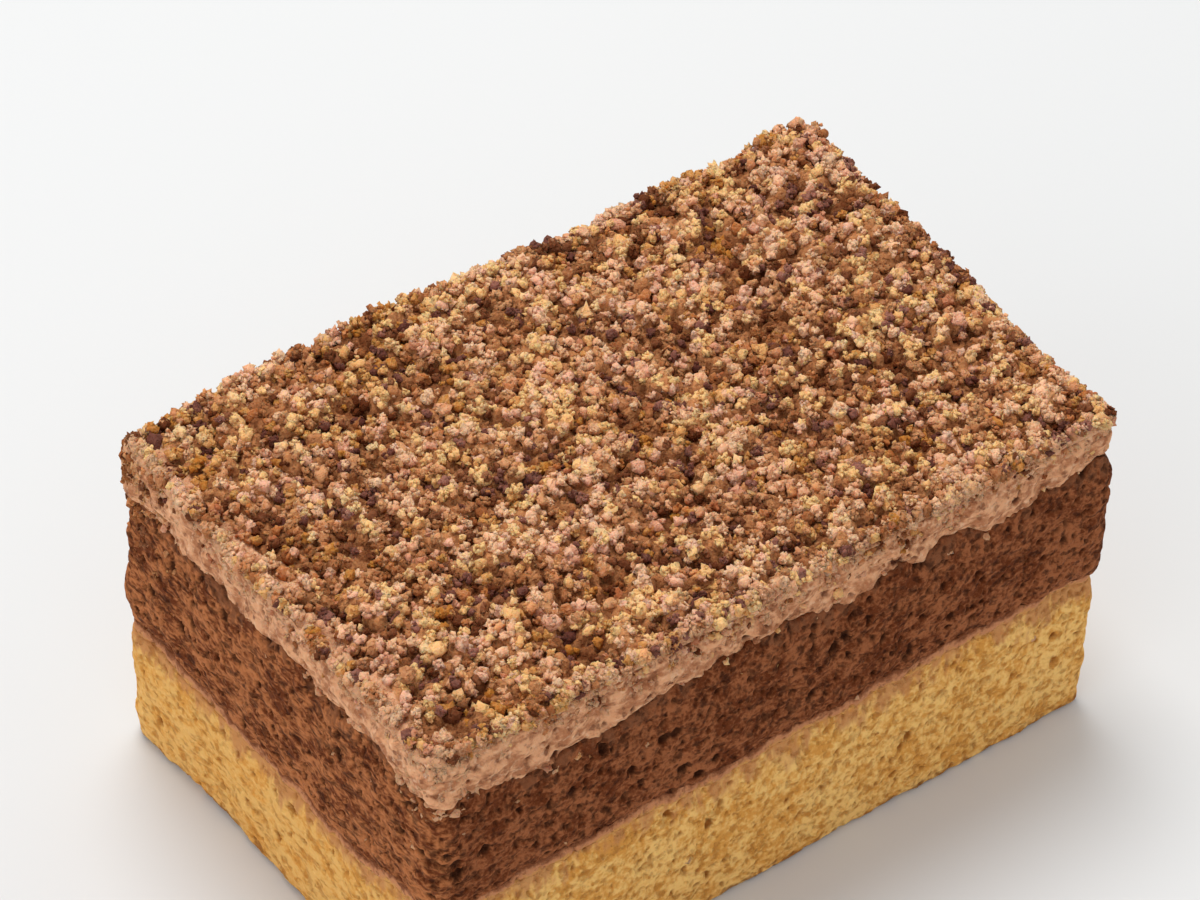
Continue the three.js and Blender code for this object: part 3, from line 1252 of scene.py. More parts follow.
@dataclass(frozen=True)
class Smear:
    """How much mousse shows through the coat: most over the left cut and the front corner."""

    rim: Fade = Fade(0.3, 0.2 * MM, 1.6 * MM)
    left: Fade = Fade(0.9, 0.8 * MM, 3.2 * MM)
    front: Fade = Fade(0.6, 0.3 * MM, 2.4 * MM)
    corner: Swelling = Swelling((-50 * MM, -32.5 * MM), 1.3, 5 * MM)
    patch: Wave = Wave(1.5, 3 * MM)
    skirt_least: float = 0.4
    skirt_left: Fade = Fade(0.6, 0.5 * MM, 2 * MM)
    skirt_front: Fade = Fade(0.45, 0.5 * MM, 2 * MM)
    skirt_patch: Wave = Wave(0.6, 1.8 * MM)

    def on_top(self, plan: Plan, points: Array, flat: Array) -> Array:
        """The mousse on the top of the coat.

        Args:
            plan: The slice's plan.
            points: Places on the coat.
            flat: The same places at a height of 0.

        Returns:
            One share from 0 to 1 for each place.
        """
        patchy = self.patch.height * rough_noise(flat, self.patch.length, 2, Chance.BED_SMEAR)
        rim = self.rim.at(plan.edge_distance(points[:, :2]))
        left = self.left.at(points[:, 0] + plan.length / 2)
        front = self.front.at(points[:, 1] + plan.width / 2)
        most = np.max([rim, left, front, self.corner.out(points)], axis=0)
        return np.clip(most * (1 + patchy), 0, 1)

    def on_skirt(self, plan: Plan, points: Array) -> Array:
        """The mousse on the side of the coat.

        Args:
            plan: The slice's plan.
            points: Places on the side.

        Returns:
            One share for each place.
        """
        left = self.skirt_left.at(points[:, 0] + plan.length / 2)
        front = self.skirt_front.at(points[:, 1] + plan.width / 2)
        patch = self.skirt_patch
        patchy = patch.height * rough_noise(points, patch.length, 2, Chance.SKIRT_SMEAR)
        return self.skirt_least + np.maximum(left, front) + patchy


@dataclass
class CrumbBed:
    """The coat's own body: crumbs pressed together on the mousse, as one bumpy surface.

    The heaps are clumps of crumbs a few millimetres across; the gaps between them lie lower and
    carry painted shade.
    """

    stack: Stack
    name: str = "crumb_bed"
    step: float = 0.28 * MM
    mean: float = 50.7 * MM
    least: float = 0.35 * MM
    wave: Wave = Wave(0.3 * MM, 6 * MM)
    edge: Fade = Fade(0.7 * MM, 0, 2.2 * MM)
    skirt_rows: int = 7
    skirt_bulge: float = 0.4 * MM
    skirt_lump: Wave = Wave(0.4 * MM, 1.4 * MM)
    skirt_overlaps: int = 3
    heaps: Balls = Balls(2.4 * MM, 1.0 * MM, 2.2 * MM, 0.85, Chance.HEAPS)
    heap_bend: Wave = Wave(0.6 * MM, 1.6 * MM)
    heap_rise: float = 0.8
    patch_fall: float = 0.4 * MM
    large: Balls = Balls(1.7 * MM, 0.8 * MM, 1.25 * MM, 0.9, Chance.LARGE_BUMPS)
    small: Balls = Balls(0.9 * MM, 0.4 * MM, 0.6 * MM, 0.9, Chance.SMALL_BUMPS)
    small_lift: float = 0.35 * MM
    bump_bend: Wave = Wave(0.3 * MM, 0.9 * MM)
    grain: Wave = Wave(0.12 * MM, 0.7 * MM)
    shade_painting: PaintedShade = PaintedShade()
    mousse: Smear = Smear()
    tone_by_bump: float = 0.45
    tone_mean: float = 0.4
    tone_by_painted_shade: float = 0.3
    skirt_tone: Wave = Wave(0.5, 1.0 * MM)

    def flat(self, points: Array) -> Array:
        """The points of the plan with a height of 0, for the patterns in space."""
        return np.column_stack([points[:, :2], np.zeros(len(points))])

    def heap(self, points: Array) -> tuple[Array, Array]:
        """How far each point is up a heap, in metres, and the heap's tone."""
        return self.heaps.found(wandered(self.flat(points), self.heap_bend, Chance.HEAP_BEND))

    def painted_shade(self, points: Array) -> Array:
        """How much painted shade each point carries."""
        return self.shade_painting.at(points, self.flat(points), self.heap(points)[0])

    def level(self, points: Array) -> Array:
        """The height of the bed under its crumbs.

        Args:
            points: Places in the plan.

        Returns:
            One height for each place.
        """
        flat = self.flat(points)
        wave = self.wave.height * rough_noise(flat, self.wave.length, 2, Chance.BED_WAVE)
        shade = self.shade_painting.patches.shade(points)
        wave += self.heap_rise * self.heap(points)[0] - self.patch_fall * shade
        wave += self.stack.mound(points)
        return self.mean + wave - self.edge.at(self.stack.plan.edge_distance(points))

    def smear(self, points: Array) -> Array:
        """How much mousse shows through the top of the coat."""
        return self.mousse.on_top(self.stack.plan, points, self.flat(points))

    def bumps(self, points: Array) -> tuple[Array, Array]:
        """The crumbs that stand out of the bed, as the tops of balls.

        Args:
            points: Places in the plan.

        Returns:
            One height and one tone for each place.
        """
        place = wandered(self.flat(points), self.bump_bend, Chance.BUMP_BEND)
        large, large_tone = self.large.found(place)
        small, small_tone = self.small.found(place)
        small = small + self.small_lift
        grain = rough_noise(place, self.grain.length, 2, Chance.BUMP_GRAIN)
        height = np.maximum(large, small) + self.grain.height * grain
        return height, np.where(large > small, large_tone, small_tone)

    def build(self) -> bpy.types.Object:
        """Makes the bed: a grid over the plan, a bulging skirt down its rim, and an underside.

        Returns:
            The piece.
        """
        plan = self.stack.plan
        across = int(plan.length / self.step)
        along = int(plan.width / self.step)
        u, v = np.meshgrid(np.linspace(-0.5, 0.5, across + 1), np.linspace(-0.5, 0.5, along + 1))
        square = np.column_stack([u.ravel() * plan.length, v.ravel() * plan.width])
        flat = plan.within_corners(square)
        bumps, bump_tone = self.bumps(flat)
        z = np.maximum(self.level(flat) + bumps, self.stack.crumb_bottom(*flat.T) + self.least)
        top = np.column_stack([plan.splayed(*flat.T), flat[:, 1], z])

        numbers = np.arange(len(top)).reshape(along + 1, across + 1)
        quads = np.stack(
            [numbers[:-1, :-1], numbers[:-1, 1:], numbers[1:, 1:], numbers[1:, :-1]], axis=-1
        ).reshape(-1, 4)
        rim = np.concatenate(
            [numbers[0, :-1], numbers[:-1, -1], numbers[-1, :0:-1], numbers[:0:-1, 0]]
        )
        skirt, skirt_quads, underside = self.skirt(top, rim)
        vertices = np.concatenate([top, skirt])
        tone = self.tone_by_bump * bump_tone + self.tone_mean
        # Painted shade darkens the bed's tone between the heaps.
        tone = np.clip(tone - self.tone_by_painted_shade * self.painted_shade(flat), 0, 1)
        side = smooth_noise(skirt, self.skirt_tone.length, Chance.SKIRT_TONE)
        side = 0.5 + self.skirt_tone.height * side
        attributes = {
            "tone": np.concatenate([tone, side]),
            "smear": np.concatenate([self.smear(top), self.mousse.on_skirt(plan, skirt)]),
        }
        return piece_of(self.name, vertices, [quads, skirt_quads, underside], attributes, True)

    def skirt(self, top: Array, rim: Array) -> tuple[Array, Array, Array]:
        """The side of the bed, from its rim down to the mousse, and its underside.

        Args:
            top: The points of the upper grid.
            rim: The numbers of those on its edge, anticlockwise.

        Returns:
            The new points, the quads of the side and the triangles of the underside.
        """
        edge = top[rim]
        ahead = np.roll(edge, -1, axis=0) - np.roll(edge, 1, axis=0)
        out = np.column_stack([ahead[:, 1], -ahead[:, 0]])
        out /= np.linalg.norm(out, axis=1, keepdims=True)
        lowest = self.skirt_overlaps * self.stack.overlap
        under = self.stack.crumb_bottom(edge[:, 0], edge[:, 1]) - lowest
        rise = np.linspace(0, 1, self.skirt_rows + 1)[1:, None]
        z = lerp(edge[:, 2], under, rise)
        place = np.stack([np.broadcast_to(edge[:, k], z.shape) for k in (0, 1)] + [z], axis=-1)
        lump = self.skirt_lump
        lumps = lump.height * rough_noise(place, lump.length, 2, Chance.SKIRT_BULGE)
        bulge = self.skirt_bulge + lumps
        place[..., :2] += (bulge * np.sin(0.8 * math.pi * rise))[..., None] * out
        points = np.concatenate([place.reshape(-1, 3), [[0, 0, np.mean(under)]]])

        count = len(rim)
        rows = np.concatenate([rim[None], len(top) + np.arange(len(points) - 1).reshape(-1, count)])
        after = np.roll(rows, -1, axis=1)
        quads = np.stack([rows[1:], after[1:], after[:-1], rows[:-1]], axis=-1).reshape(-1, 4)
        middle = np.full(count, len(top) + len(points) - 1)
        return points, quads, np.stack([middle, after[-1], rows[-1]], axis=-1)


@dataclass(frozen=True)
class Batch:
    """Loose crumbs of one size: how many, their diameters, and how far they stand over the bed."""

    count: int
    smallest: float
    largest: float
    lift: float = 0.0

    def sizes(self, rng: np.random.Generator, count: int) -> Array:
        """Draws a diameter for each of a number of crumbs."""
        return rng.uniform(self.smallest, self.largest, count)


@dataclass
class Crumbs:
    """Crumbs in arrays, one entry for each: centre, diameter, kind, tone with painted shade,
    and smear of mousse.
    """

    centres: Array
    sizes: Array
    kinds: Array
    tones: Array
    smears: Array

    def joined(self, other: "Crumbs") -> "Crumbs":
        """These crumbs and some others."""
        pairs = zip(vars(self).values(), vars(other).values(), strict=True)
        return Crumbs(*(np.concatenate(pair) for pair in pairs))

    def chosen(self, mask: Array) -> "Crumbs":
        """The crumbs that a mask or a list of numbers picks."""
        return Crumbs(*(values[mask] for values in vars(self).values()))


@dataclass
class LooseCrumbs:
    """The crumbs that lie on the bed, hang over its edge and stick to the cut faces."""

    plan: Plan
    stack: Stack
    bed: CrumbBed
    on_bed: tuple[Batch, ...] = (
        Batch(1200, 1.6 * MM, 2.3 * MM, 0.35 * MM),
        Batch(4600, 1.0 * MM, 1.6 * MM, 0.75 * MM),
    )
    bed_inset: float = 0.3 * MM
    unevenness: float = 0.55 * MM
    gaps: float = 0.35
    smear_gaps: float = 1.1
    bed_smear: float = 0.7
    rim: Batch = Batch(2200, 1.0 * MM, 1.9 * MM)
    rim_top: float = 52.2 * MM
    rim_foot: float = 0.3 * MM
    rim_inset: float = 1.2 * MM
    rim_reach: float = 0.35 * MM
    rim_bulge: float = 0.3 * MM
    rim_power: float = 1.5
    rim_thinning: tuple[float, float] = (0.55, 0.35)
    overhangs: tuple[Swelling, ...] = (
        Swelling((51 * MM, 32 * MM), 1.3 * MM, 7 * MM),
        Swelling((51 * MM, -18 * MM), -0.5 * MM, 13 * MM),
        Swelling((-51 * MM, 32 * MM), -1.1 * MM, 8 * MM),
    )
    stuck: Batch = Batch(1700, 0.5 * MM, 1.3 * MM)
    stuck_fall: float = 1.6 * MM
    strayed: Batch = Batch(200, 0.4 * MM, 1.1 * MM)
    strayed_fall: float = 9 * MM
    cornered: Batch = Batch(420, 0.7 * MM, 1.6 * MM)
    cornered_fall: float = 6 * MM
    cornered_kinds: tuple[tuple[Crumb, float], ...] = (
        (Crumb.BROWN, 0.5), (Crumb.ORANGE, 0.25), (Crumb.DARK, 0.25),
    )
    cornered_smear: float = 0.3
    smeared: Batch = Batch(170, 0.6 * MM, 1.4 * MM)
    smeared_fall: float = 4 * MM
    smeared_least: float = 0.6
    back_corner: tuple[float, float] = (-51 * MM, 31 * MM)
    front_corner: tuple[float, float] = (-50 * MM, -32 * MM)
    corner_spread: float = 6 * MM
    corner_places: int = 4000
    lowest: float = 2 * MM
    side_reach: float = 0.35 * MM
    side_smear: tuple[float, float] = (0.2, 1.0)
    left_smear: float = 0.1
    nubs: Batch = Batch(21000, 0.5 * MM, 0.94 * MM)
    nub_seat: float = 0.44
    nub_tones: tuple[float, float] = (-0.2, 0.3)
    mean_tone: float = 0.71
    painted_shade_tone: float = 0.42
    heap_tone: float = 0.3
    patch_tone: Wave = Wave(0.15, 9 * MM)
    chance_tone: float = 0.15
    clump: Wave = Wave(1.6, 2.6 * MM)
    flattening: float = 0.3
    kind_shade_noise: float = 9 * MM
    kind_gold: float = 7 * MM
    fine_below: float = 0.95 * MM
    lumpiness: float = 0.38
    dents: float = 0.18
    dented: float = 0.6
    thinnest: float = 0.65
    boxiness: float = 0.7

    def lattice(self, cells: int) -> tuple[Array, Array]:
        """A lump of few faces: the outer points of a cube of small cells, with its corners in.

        Each point is divided by a power of its distance from the middle: a power of 1 gives a
        ball and a power of 0 the cube.

        Args:
            cells: The number of cells along each edge.

        Returns:
            The points of the lump, about 1 from its middle, and its quads, facing out.
        """
        ticks = range(-cells, cells + 1, 2)
        cube = np.array([p for p in product(ticks, repeat=3) if cells in map(abs, p)])
        number = {tuple(p): k for k, p in enumerate(cube.tolist())}
        quads = []
        for axis, side in product(range(3), (-1, 1)):
            for i, j in product(ticks[:-1], repeat=2):
                loop = [(i, j), (i + 2, j), (i + 2, j + 2), (i, j + 2)][::side]
                corners = [np.roll((side * cells, *pair), axis) for pair in loop]
                quads.append([number[tuple(int(c) for c in corner)] for corner in corners])
        lump = cube / cells
        return lump / np.linalg.norm(lump, axis=1, keepdims=True) ** self.boxiness, np.array(quads)

    def spread(self, rng: np.random.Generator, count: int, inset: float) -> Array:
        """Points spread evenly over the plan: one at random in each cell of a grid.

        Args:
            rng: The source of random numbers.
            count: About how many points there are.
            inset: How far inside the outline they all are.

        Returns:
            The points, with x and y along the last axis.
        """
        share = self.plan.width / self.plan.length
        across = int(math.sqrt(count / share))
        along = int(across * share)
        u, v = np.meshgrid(np.arange(across), np.arange(along))
        cells = np.column_stack([u.ravel(), v.ravel()])
        place = (cells + rng.random(cells.shape)) / (across, along) - 0.5
        return self.plan.within_corners(
            place * (self.plan.length - 2 * inset, self.plan.width - 2 * inset)
        )

    def dressed(
        self, rng: np.random.Generator, centres: Array, sizes: Array, smears: Array
    ) -> Crumbs:
        """Gives crumbs a kind and a tone: painted light up the heaps, painted shade between them,
        and random tone.

        Args:
            rng: The source of random numbers.
            centres: The crumbs' middles.
            sizes: Their diameters.
            smears: How much mousse is on each.

        Returns:
            The crumbs.
        """
        flat = self.bed.flat(centres)
        # Painted shade lowers the tone between the heaps, and painted light raises it on them.
        tone = self.mean_tone - self.painted_shade_tone * self.bed.painted_shade(flat)
        tone += self.heap_tone * (self.bed.heap(flat)[1] - 0.5)
        patch = smooth_noise(flat, self.patch_tone.length, Chance.CRUMB_TONE)
        chance = rng.uniform(-self.chance_tone, self.chance_tone, len(flat))
        tone += self.patch_tone.height * patch + chance
        return Crumbs(centres, sizes, self.kinds(rng, centres), np.clip(tone, 0, 1), smears)

    def on_top(self, rng: np.random.Generator, batch: Batch) -> Crumbs:
        """Crumbs of one size on the bed, fewer where the mousse shows and between the heaps.

        Args:
            rng: The source of random numbers.
            batch: Which crumbs they are.

        Returns:
            The crumbs.
        """
        flat = self.spread(rng, batch.count, self.bed_inset)
        size = batch.sizes(rng, len(flat))
        z = self.bed.level(flat) + batch.lift + self.unevenness * rng.uniform(-1, 1, len(flat))
        centres = np.column_stack([self.plan.splayed(*flat.T), flat[:, 1], z])
        smear = self.bed.smear(flat)
        gap = self.gaps * np.clip(self.bed.painted_shade(flat), 0, 1)
        kept = rng.random(len(flat)) > self.smear_gaps * smear + gap
        return self.dressed(rng, centres[kept], size[kept], self.bed_smear * smear[kept])

    def on_rim(self, rng: np.random.Generator) -> Crumbs:
        """Crumbs along the rim of the coat, some of them past the cut, further at the overhangs.

        In front and on the left there are fewer, and few of them hang low, so that the mousse
        shows right up to them.

        Args:
            rng: The source of random numbers.

        Returns:
            The crumbs.
        """
        line, normal = self.plan.outline(rng.random(self.rim.count))
        kept = rng.random(self.rim.count) < self.rim_depth(normal)
        line, normal = line[kept], normal[kept]
        count = len(line)
        drop = rng.random(count) ** self.rim_power * self.rim_depth(normal) ** self.rim_power
        reach = self.rim_reach + sum(overhang.out(line) for overhang in self.overhangs)
        out = lerp(-self.rim_inset, reach, rng.random(count))
        out += self.rim_bulge * np.sin(math.pi * drop)
        top = self.rim_top + self.stack.mound(line)
        z = lerp(top, self.stack.crumb_bottom(*line.T) - self.rim_foot, drop)
        centres = np.column_stack([line + normal * out[:, None], z])
        smears = self.bed.smear(centres) * rng.random(count)
        return self.dressed(rng, centres, self.rim.sizes(rng, count), smears)

    def rim_depth(self, normal: Array) -> Array:
        """How full the rim is: 1 at the right and back, and less on the left and in front."""
        facing = np.clip(-normal, 0, 1)
        return 1 - self.rim_thinning[0] * facing[:, 0] - self.rim_thinning[1] * facing[:, 1]

    def on_sides(
        self, rng: np.random.Generator, batch: Batch, line: Array, normal: Array, fall: Array
    ) -> Crumbs:
        """Crumbs that stick to the cut faces, many of them smeared with mousse.

        Args:
            rng: The source of random numbers.
            batch: Which crumbs they are.
            line: Where they are on the outline.
            normal: The outline's outward normals there.
            fall: How far they are below the coat.

        Returns:
            The crumbs.
        """
        z = np.clip(self.stack.crumb_bottom_mean - fall, self.lowest, None)
        out = self.side_reach * rng.random(batch.count)
        centres = np.column_stack([line + normal * out[:, None], z])
        smears = rng.uniform(*self.side_smear, batch.count)
        smears += self.left_smear * np.clip(-normal[:, 0], 0, 1)
        return self.dressed(rng, centres, batch.sizes(rng, batch.count), smears)

    def on_faces(self, rng: np.random.Generator) -> Crumbs:
        """The crumbs on the cut faces: just under the coat, lower down, and at two corners.

        Args:
            rng: The source of random numbers.

        Returns:
            The crumbs.
        """
        made = self.all_round(rng, self.stuck, self.stuck_fall)
        made = made.joined(self.all_round(rng, self.strayed, self.strayed_fall))
        back = self.at_corner(rng, self.cornered, self.back_corner, self.cornered_fall)
        numbers = [list(Crumb).index(kind) for kind, _ in self.cornered_kinds]
        shares = [share for _, share in self.cornered_kinds]
        back.kinds = rng.choice(numbers, self.cornered.count, p=shares)
        back.smears *= self.cornered_smear
        front = self.at_corner(rng, self.smeared, self.front_corner, self.smeared_fall)
        front.smears = lerp(self.smeared_least, 1.0, front.smears)
        return made.joined(back).joined(front)

    def all_round(self, rng: np.random.Generator, batch: Batch, fall: float) -> Crumbs:
        """Crumbs that stick to the cut faces all round the slice, fewer lower down.

        Args:
            rng: The source of random numbers.
            batch: Which crumbs they are.
            fall: How far they are below the coat on average.

        Returns:
            The crumbs.
        """
        line, normal = self.plan.outline(rng.random(batch.count))
        return self.on_sides(rng, batch, line, normal, rng.exponential(fall, batch.count))

    def at_corner(
        self, rng: np.random.Generator, batch: Batch, corner: tuple[float, float], fall: float
    ) -> Crumbs:
        """Crumbs that stick to the cut faces near a corner: fewer further from it and lower down.

        Args:
            rng: The source of random numbers.
            batch: Which crumbs they are.
            corner: Where the corner is in the plan.
            fall: How far they are below the coat on average.

        Returns:
            The crumbs.
        """
        line, normal = self.plan.outline(np.linspace(0, 1, self.corner_places))
        nearness = np.exp(-((np.linalg.norm(line - corner, axis=1) / self.corner_spread) ** 2))
        chosen = rng.choice(len(line), batch.count, p=nearness / nearness.sum())
        falls = rng.exponential(fall, batch.count)
        return self.on_sides(rng, batch, line[chosen], normal[chosen], falls)

    def with_nubs(self, rng: np.random.Generator, crumbs: Crumbs) -> Crumbs:
        """Adds small crumbs that stick to larger ones, of their kind and nearly their tone.

        Args:
            rng: The source of random numbers.
            crumbs: The larger crumbs.

        Returns:
            All the crumbs.
        """
        count = self.nubs.count
        host = rng.integers(0, len(crumbs.centres), count)
        side = rng.normal(size=(count, 3))
        side[:, 2] = np.abs(side[:, 2])
        side /= np.linalg.norm(side, axis=1, keepdims=True)
        nubs = crumbs.chosen(host)
        nubs.centres = nubs.centres + self.nub_seat * nubs.sizes[:, None] * side
        nubs.tones = np.clip(nubs.tones + rng.uniform(*self.nub_tones, count), 0, 1)
        nubs.sizes = self.nubs.sizes(rng, count)
        return crumbs.joined(nubs)

    def kinds(self, rng: np.random.Generator, centres: Array) -> Array:
        """Picks each crumb's kind: neighbours tend to be alike, and darker kinds gather where
        painted shade lies.

        A kind's weight is its share times the exponentials of noise of its own, of the painted
        shade and of the gold, each times the kind's own power.

        Args:
            rng: The source of random numbers.
            centres: The crumbs' middles.

        Returns:
            The number of each crumb's kind.
        """
        flat = centres * (1, 1, self.flattening)
        # Painted shade, with noise of its own, makes the darker kinds commoner.
        painted_shade = self.bed.painted_shade(centres) + rough_noise(flat, self.kind_shade_noise, 2, Chance.KIND_SHADE_NOISE)
        gold = smooth_noise(flat, self.kind_gold, Chance.KIND_GOLD)
        columns = []
        for number, kind in enumerate(Crumb):
            clump = self.clump.height * smooth_noise(flat, self.clump.length, Chance.KINDS + number)
            weight = kind.share * np.exp(clump) * np.exp(kind.painted_shade * painted_shade)
            columns.append(weight * np.exp(kind.gold * gold))
        weights = np.stack(columns, axis=-1)
        edges = np.cumsum(weights, axis=1) / weights.sum(axis=1, keepdims=True)
        return np.sum(rng.random(len(centres))[:, None] > edges, axis=1)

    def turned(self, rng: np.random.Generator, shapes: Array) -> Array:
        """Turns each crumb by a random quaternion, made from four normal draws.

        Args:
            rng: The source of random numbers.
            shapes: The points by crumb and by place on it.

        Returns:
            The turned points.
        """
        q = rng.normal(size=(len(shapes), 4))
        w, x, y, z = (q / np.linalg.norm(q, axis=1, keepdims=True)).T
        rows = [
            [1 - 2 * (y * y + z * z), 2 * (x * y - w * z), 2 * (x * z + w * y)],
            [2 * (x * y + w * z), 1 - 2 * (x * x + z * z), 2 * (y * z - w * x)],
            [2 * (x * z - w * y), 2 * (y * z + w * x), 1 - 2 * (x * x + y * y)],
        ]
        return np.einsum("ijn,nkj->nki", np.array(rows), shapes)

    def shaped(self, rng: np.random.Generator, crumbs: Crumbs, lump: Array) -> Array:
        """The points of crumbs.

        A crumb is the lump of few faces, each point at its own random distance and some of them
        dented, squeezed along two axes, turned at random, and moved to its centre.

        Args:
            rng: The source of random numbers.
            crumbs: The crumbs.
            lump: The points of the lump.

        Returns:
            The points by crumb and by place on the lump.
        """
        count = len(crumbs.sizes)
        radius = 1 + self.lumpiness * (2 * rng.random((count, len(lump))) - 1)
        radius *= np.where(rng.random(radius.shape) < self.dents, self.dented, 1)
        squeeze = np.column_stack([np.ones(count), rng.uniform(self.thinnest, 1, (count, 2))])
        shapes = lump[None] * radius[..., None] * squeeze[:, None]
        shapes = self.turned(rng, shapes) * crumbs.sizes[:, None, None] / 2
        return shapes + crumbs.centres[:, None]

    def build(self) -> list[bpy.types.Object]:
        """Makes one piece for each kind of crumb, the finest crumbs with fewer faces each.

        Returns:
            The pieces, one for each kind.
        """
        rng = np.random.default_rng(Chance.DRAWS)
        crumbs = self.on_rim(rng)
        for batch in self.on_bed:
            crumbs = crumbs.joined(self.on_top(rng, batch))
        crumbs = self.with_nubs(rng, crumbs).joined(self.on_faces(rng))
        fine = crumbs.sizes < self.fine_below
        groups = []
        for mask, cells in ((~fine, 2), (fine, 1)):
            lump, quads = self.lattice(cells)
            group = crumbs.chosen(mask)
            groups.append((group, quads, self.shaped(rng, group, lump)))
        return [self.piece(kind, number, groups) for number, kind in enumerate(Crumb)]

    def piece(
        self, kind: Crumb, number: int, groups: list[tuple[Crumbs, Array, Array]]
    ) -> bpy.types.Object:
        """Joins the crumbs of one kind to a piece.

        Args:
            kind: The kind.
            number: The kind's number in the crumbs' arrays.
            groups: For each fineness, the crumbs, the quads of their lump and their points.

        Returns:
            The piece.
        """
        points, faces, tones, smears = [], [], [], []
        done = 0
        for crumbs, quads, shapes in groups:
            chosen = crumbs.kinds == number
            size = shapes.shape[1]
            firsts = done + size * np.arange(np.sum(chosen))
            points.append(shapes[chosen].reshape(-1, 3))
            faces.append((quads[None] + firsts[:, None, None]).reshape(-1, 4))
            tones.append(np.repeat(crumbs.tones[chosen], size))
            smears.append(np.repeat(crumbs.smears[chosen], size))
            done += len(points[-1])
        attributes = {"tone": np.concatenate(tones), "smear": np.concatenate(smears)}
        return piece_of(f"crumbs_{kind.word}", np.concatenate(points), faces, attributes, True)


# ---- The slice ----

VANILLA = SpongeFinish(
    "vanilla_sponge",
    light=colour(250, 200, 120),
    middle=colour(222, 156, 74),
    painted_hollow_shade=colour(146, 84, 28),
    stain=colour(196, 132, 84),
    skin=colour(140, 80, 34),
    # Painted shade on the left cut.
    painted_left_shading=colour(202, 142, 70),
    left_share=0.18,
    stain_from=0.84,
    pit=1.1 * MM,
    pit_share=0.42,
    grain=0.65 * MM,
    drag=(1.0, 0.65, 1.0),
)
CHOCOLATE = SpongeFinish(
    "chocolate_sponge",
    light=colour(164, 99, 62),
    middle=colour(106, 52, 24),
    painted_hollow_shade=colour(40, 13, 3),
    stain=colour(130, 80, 52),
    skin=colour(90, 48, 28),
    # Painted light on the left cut.
    painted_left_shading=colour(206, 130, 78),
    left_share=0.27,
    stain_from=0.93,
    pit_share=0.68,
    relief=0.52 * MM,
)
MOUSSE = MousseFinish(
    "mousse",
    light=colour(234, 172, 127),
    middle=colour(182, 118, 78),
    painted_hollow_shade=colour(100, 50, 24),
    speck_and_glint_colour=colour(246, 200, 162),
)
SEAM = SeamFinish(
    "seam", below=colour(214, 154, 84), middle=colour(202, 136, 94), above=colour(136, 80, 50)
)
# The bed's dark end stands partly for painted shade in the gaps between the loose crumbs.
BED = CrumbFinish("crumb_bed", colour(102, 52, 24), colour(200, 138, 90), MOUSSE_SMEAR)

BACK_LEFT = (-50 * MM, 32 * MM)
FRONT_LEFT = (-49 * MM, -32 * MM)
FRONT_RIGHT = (50 * MM, -32 * MM)


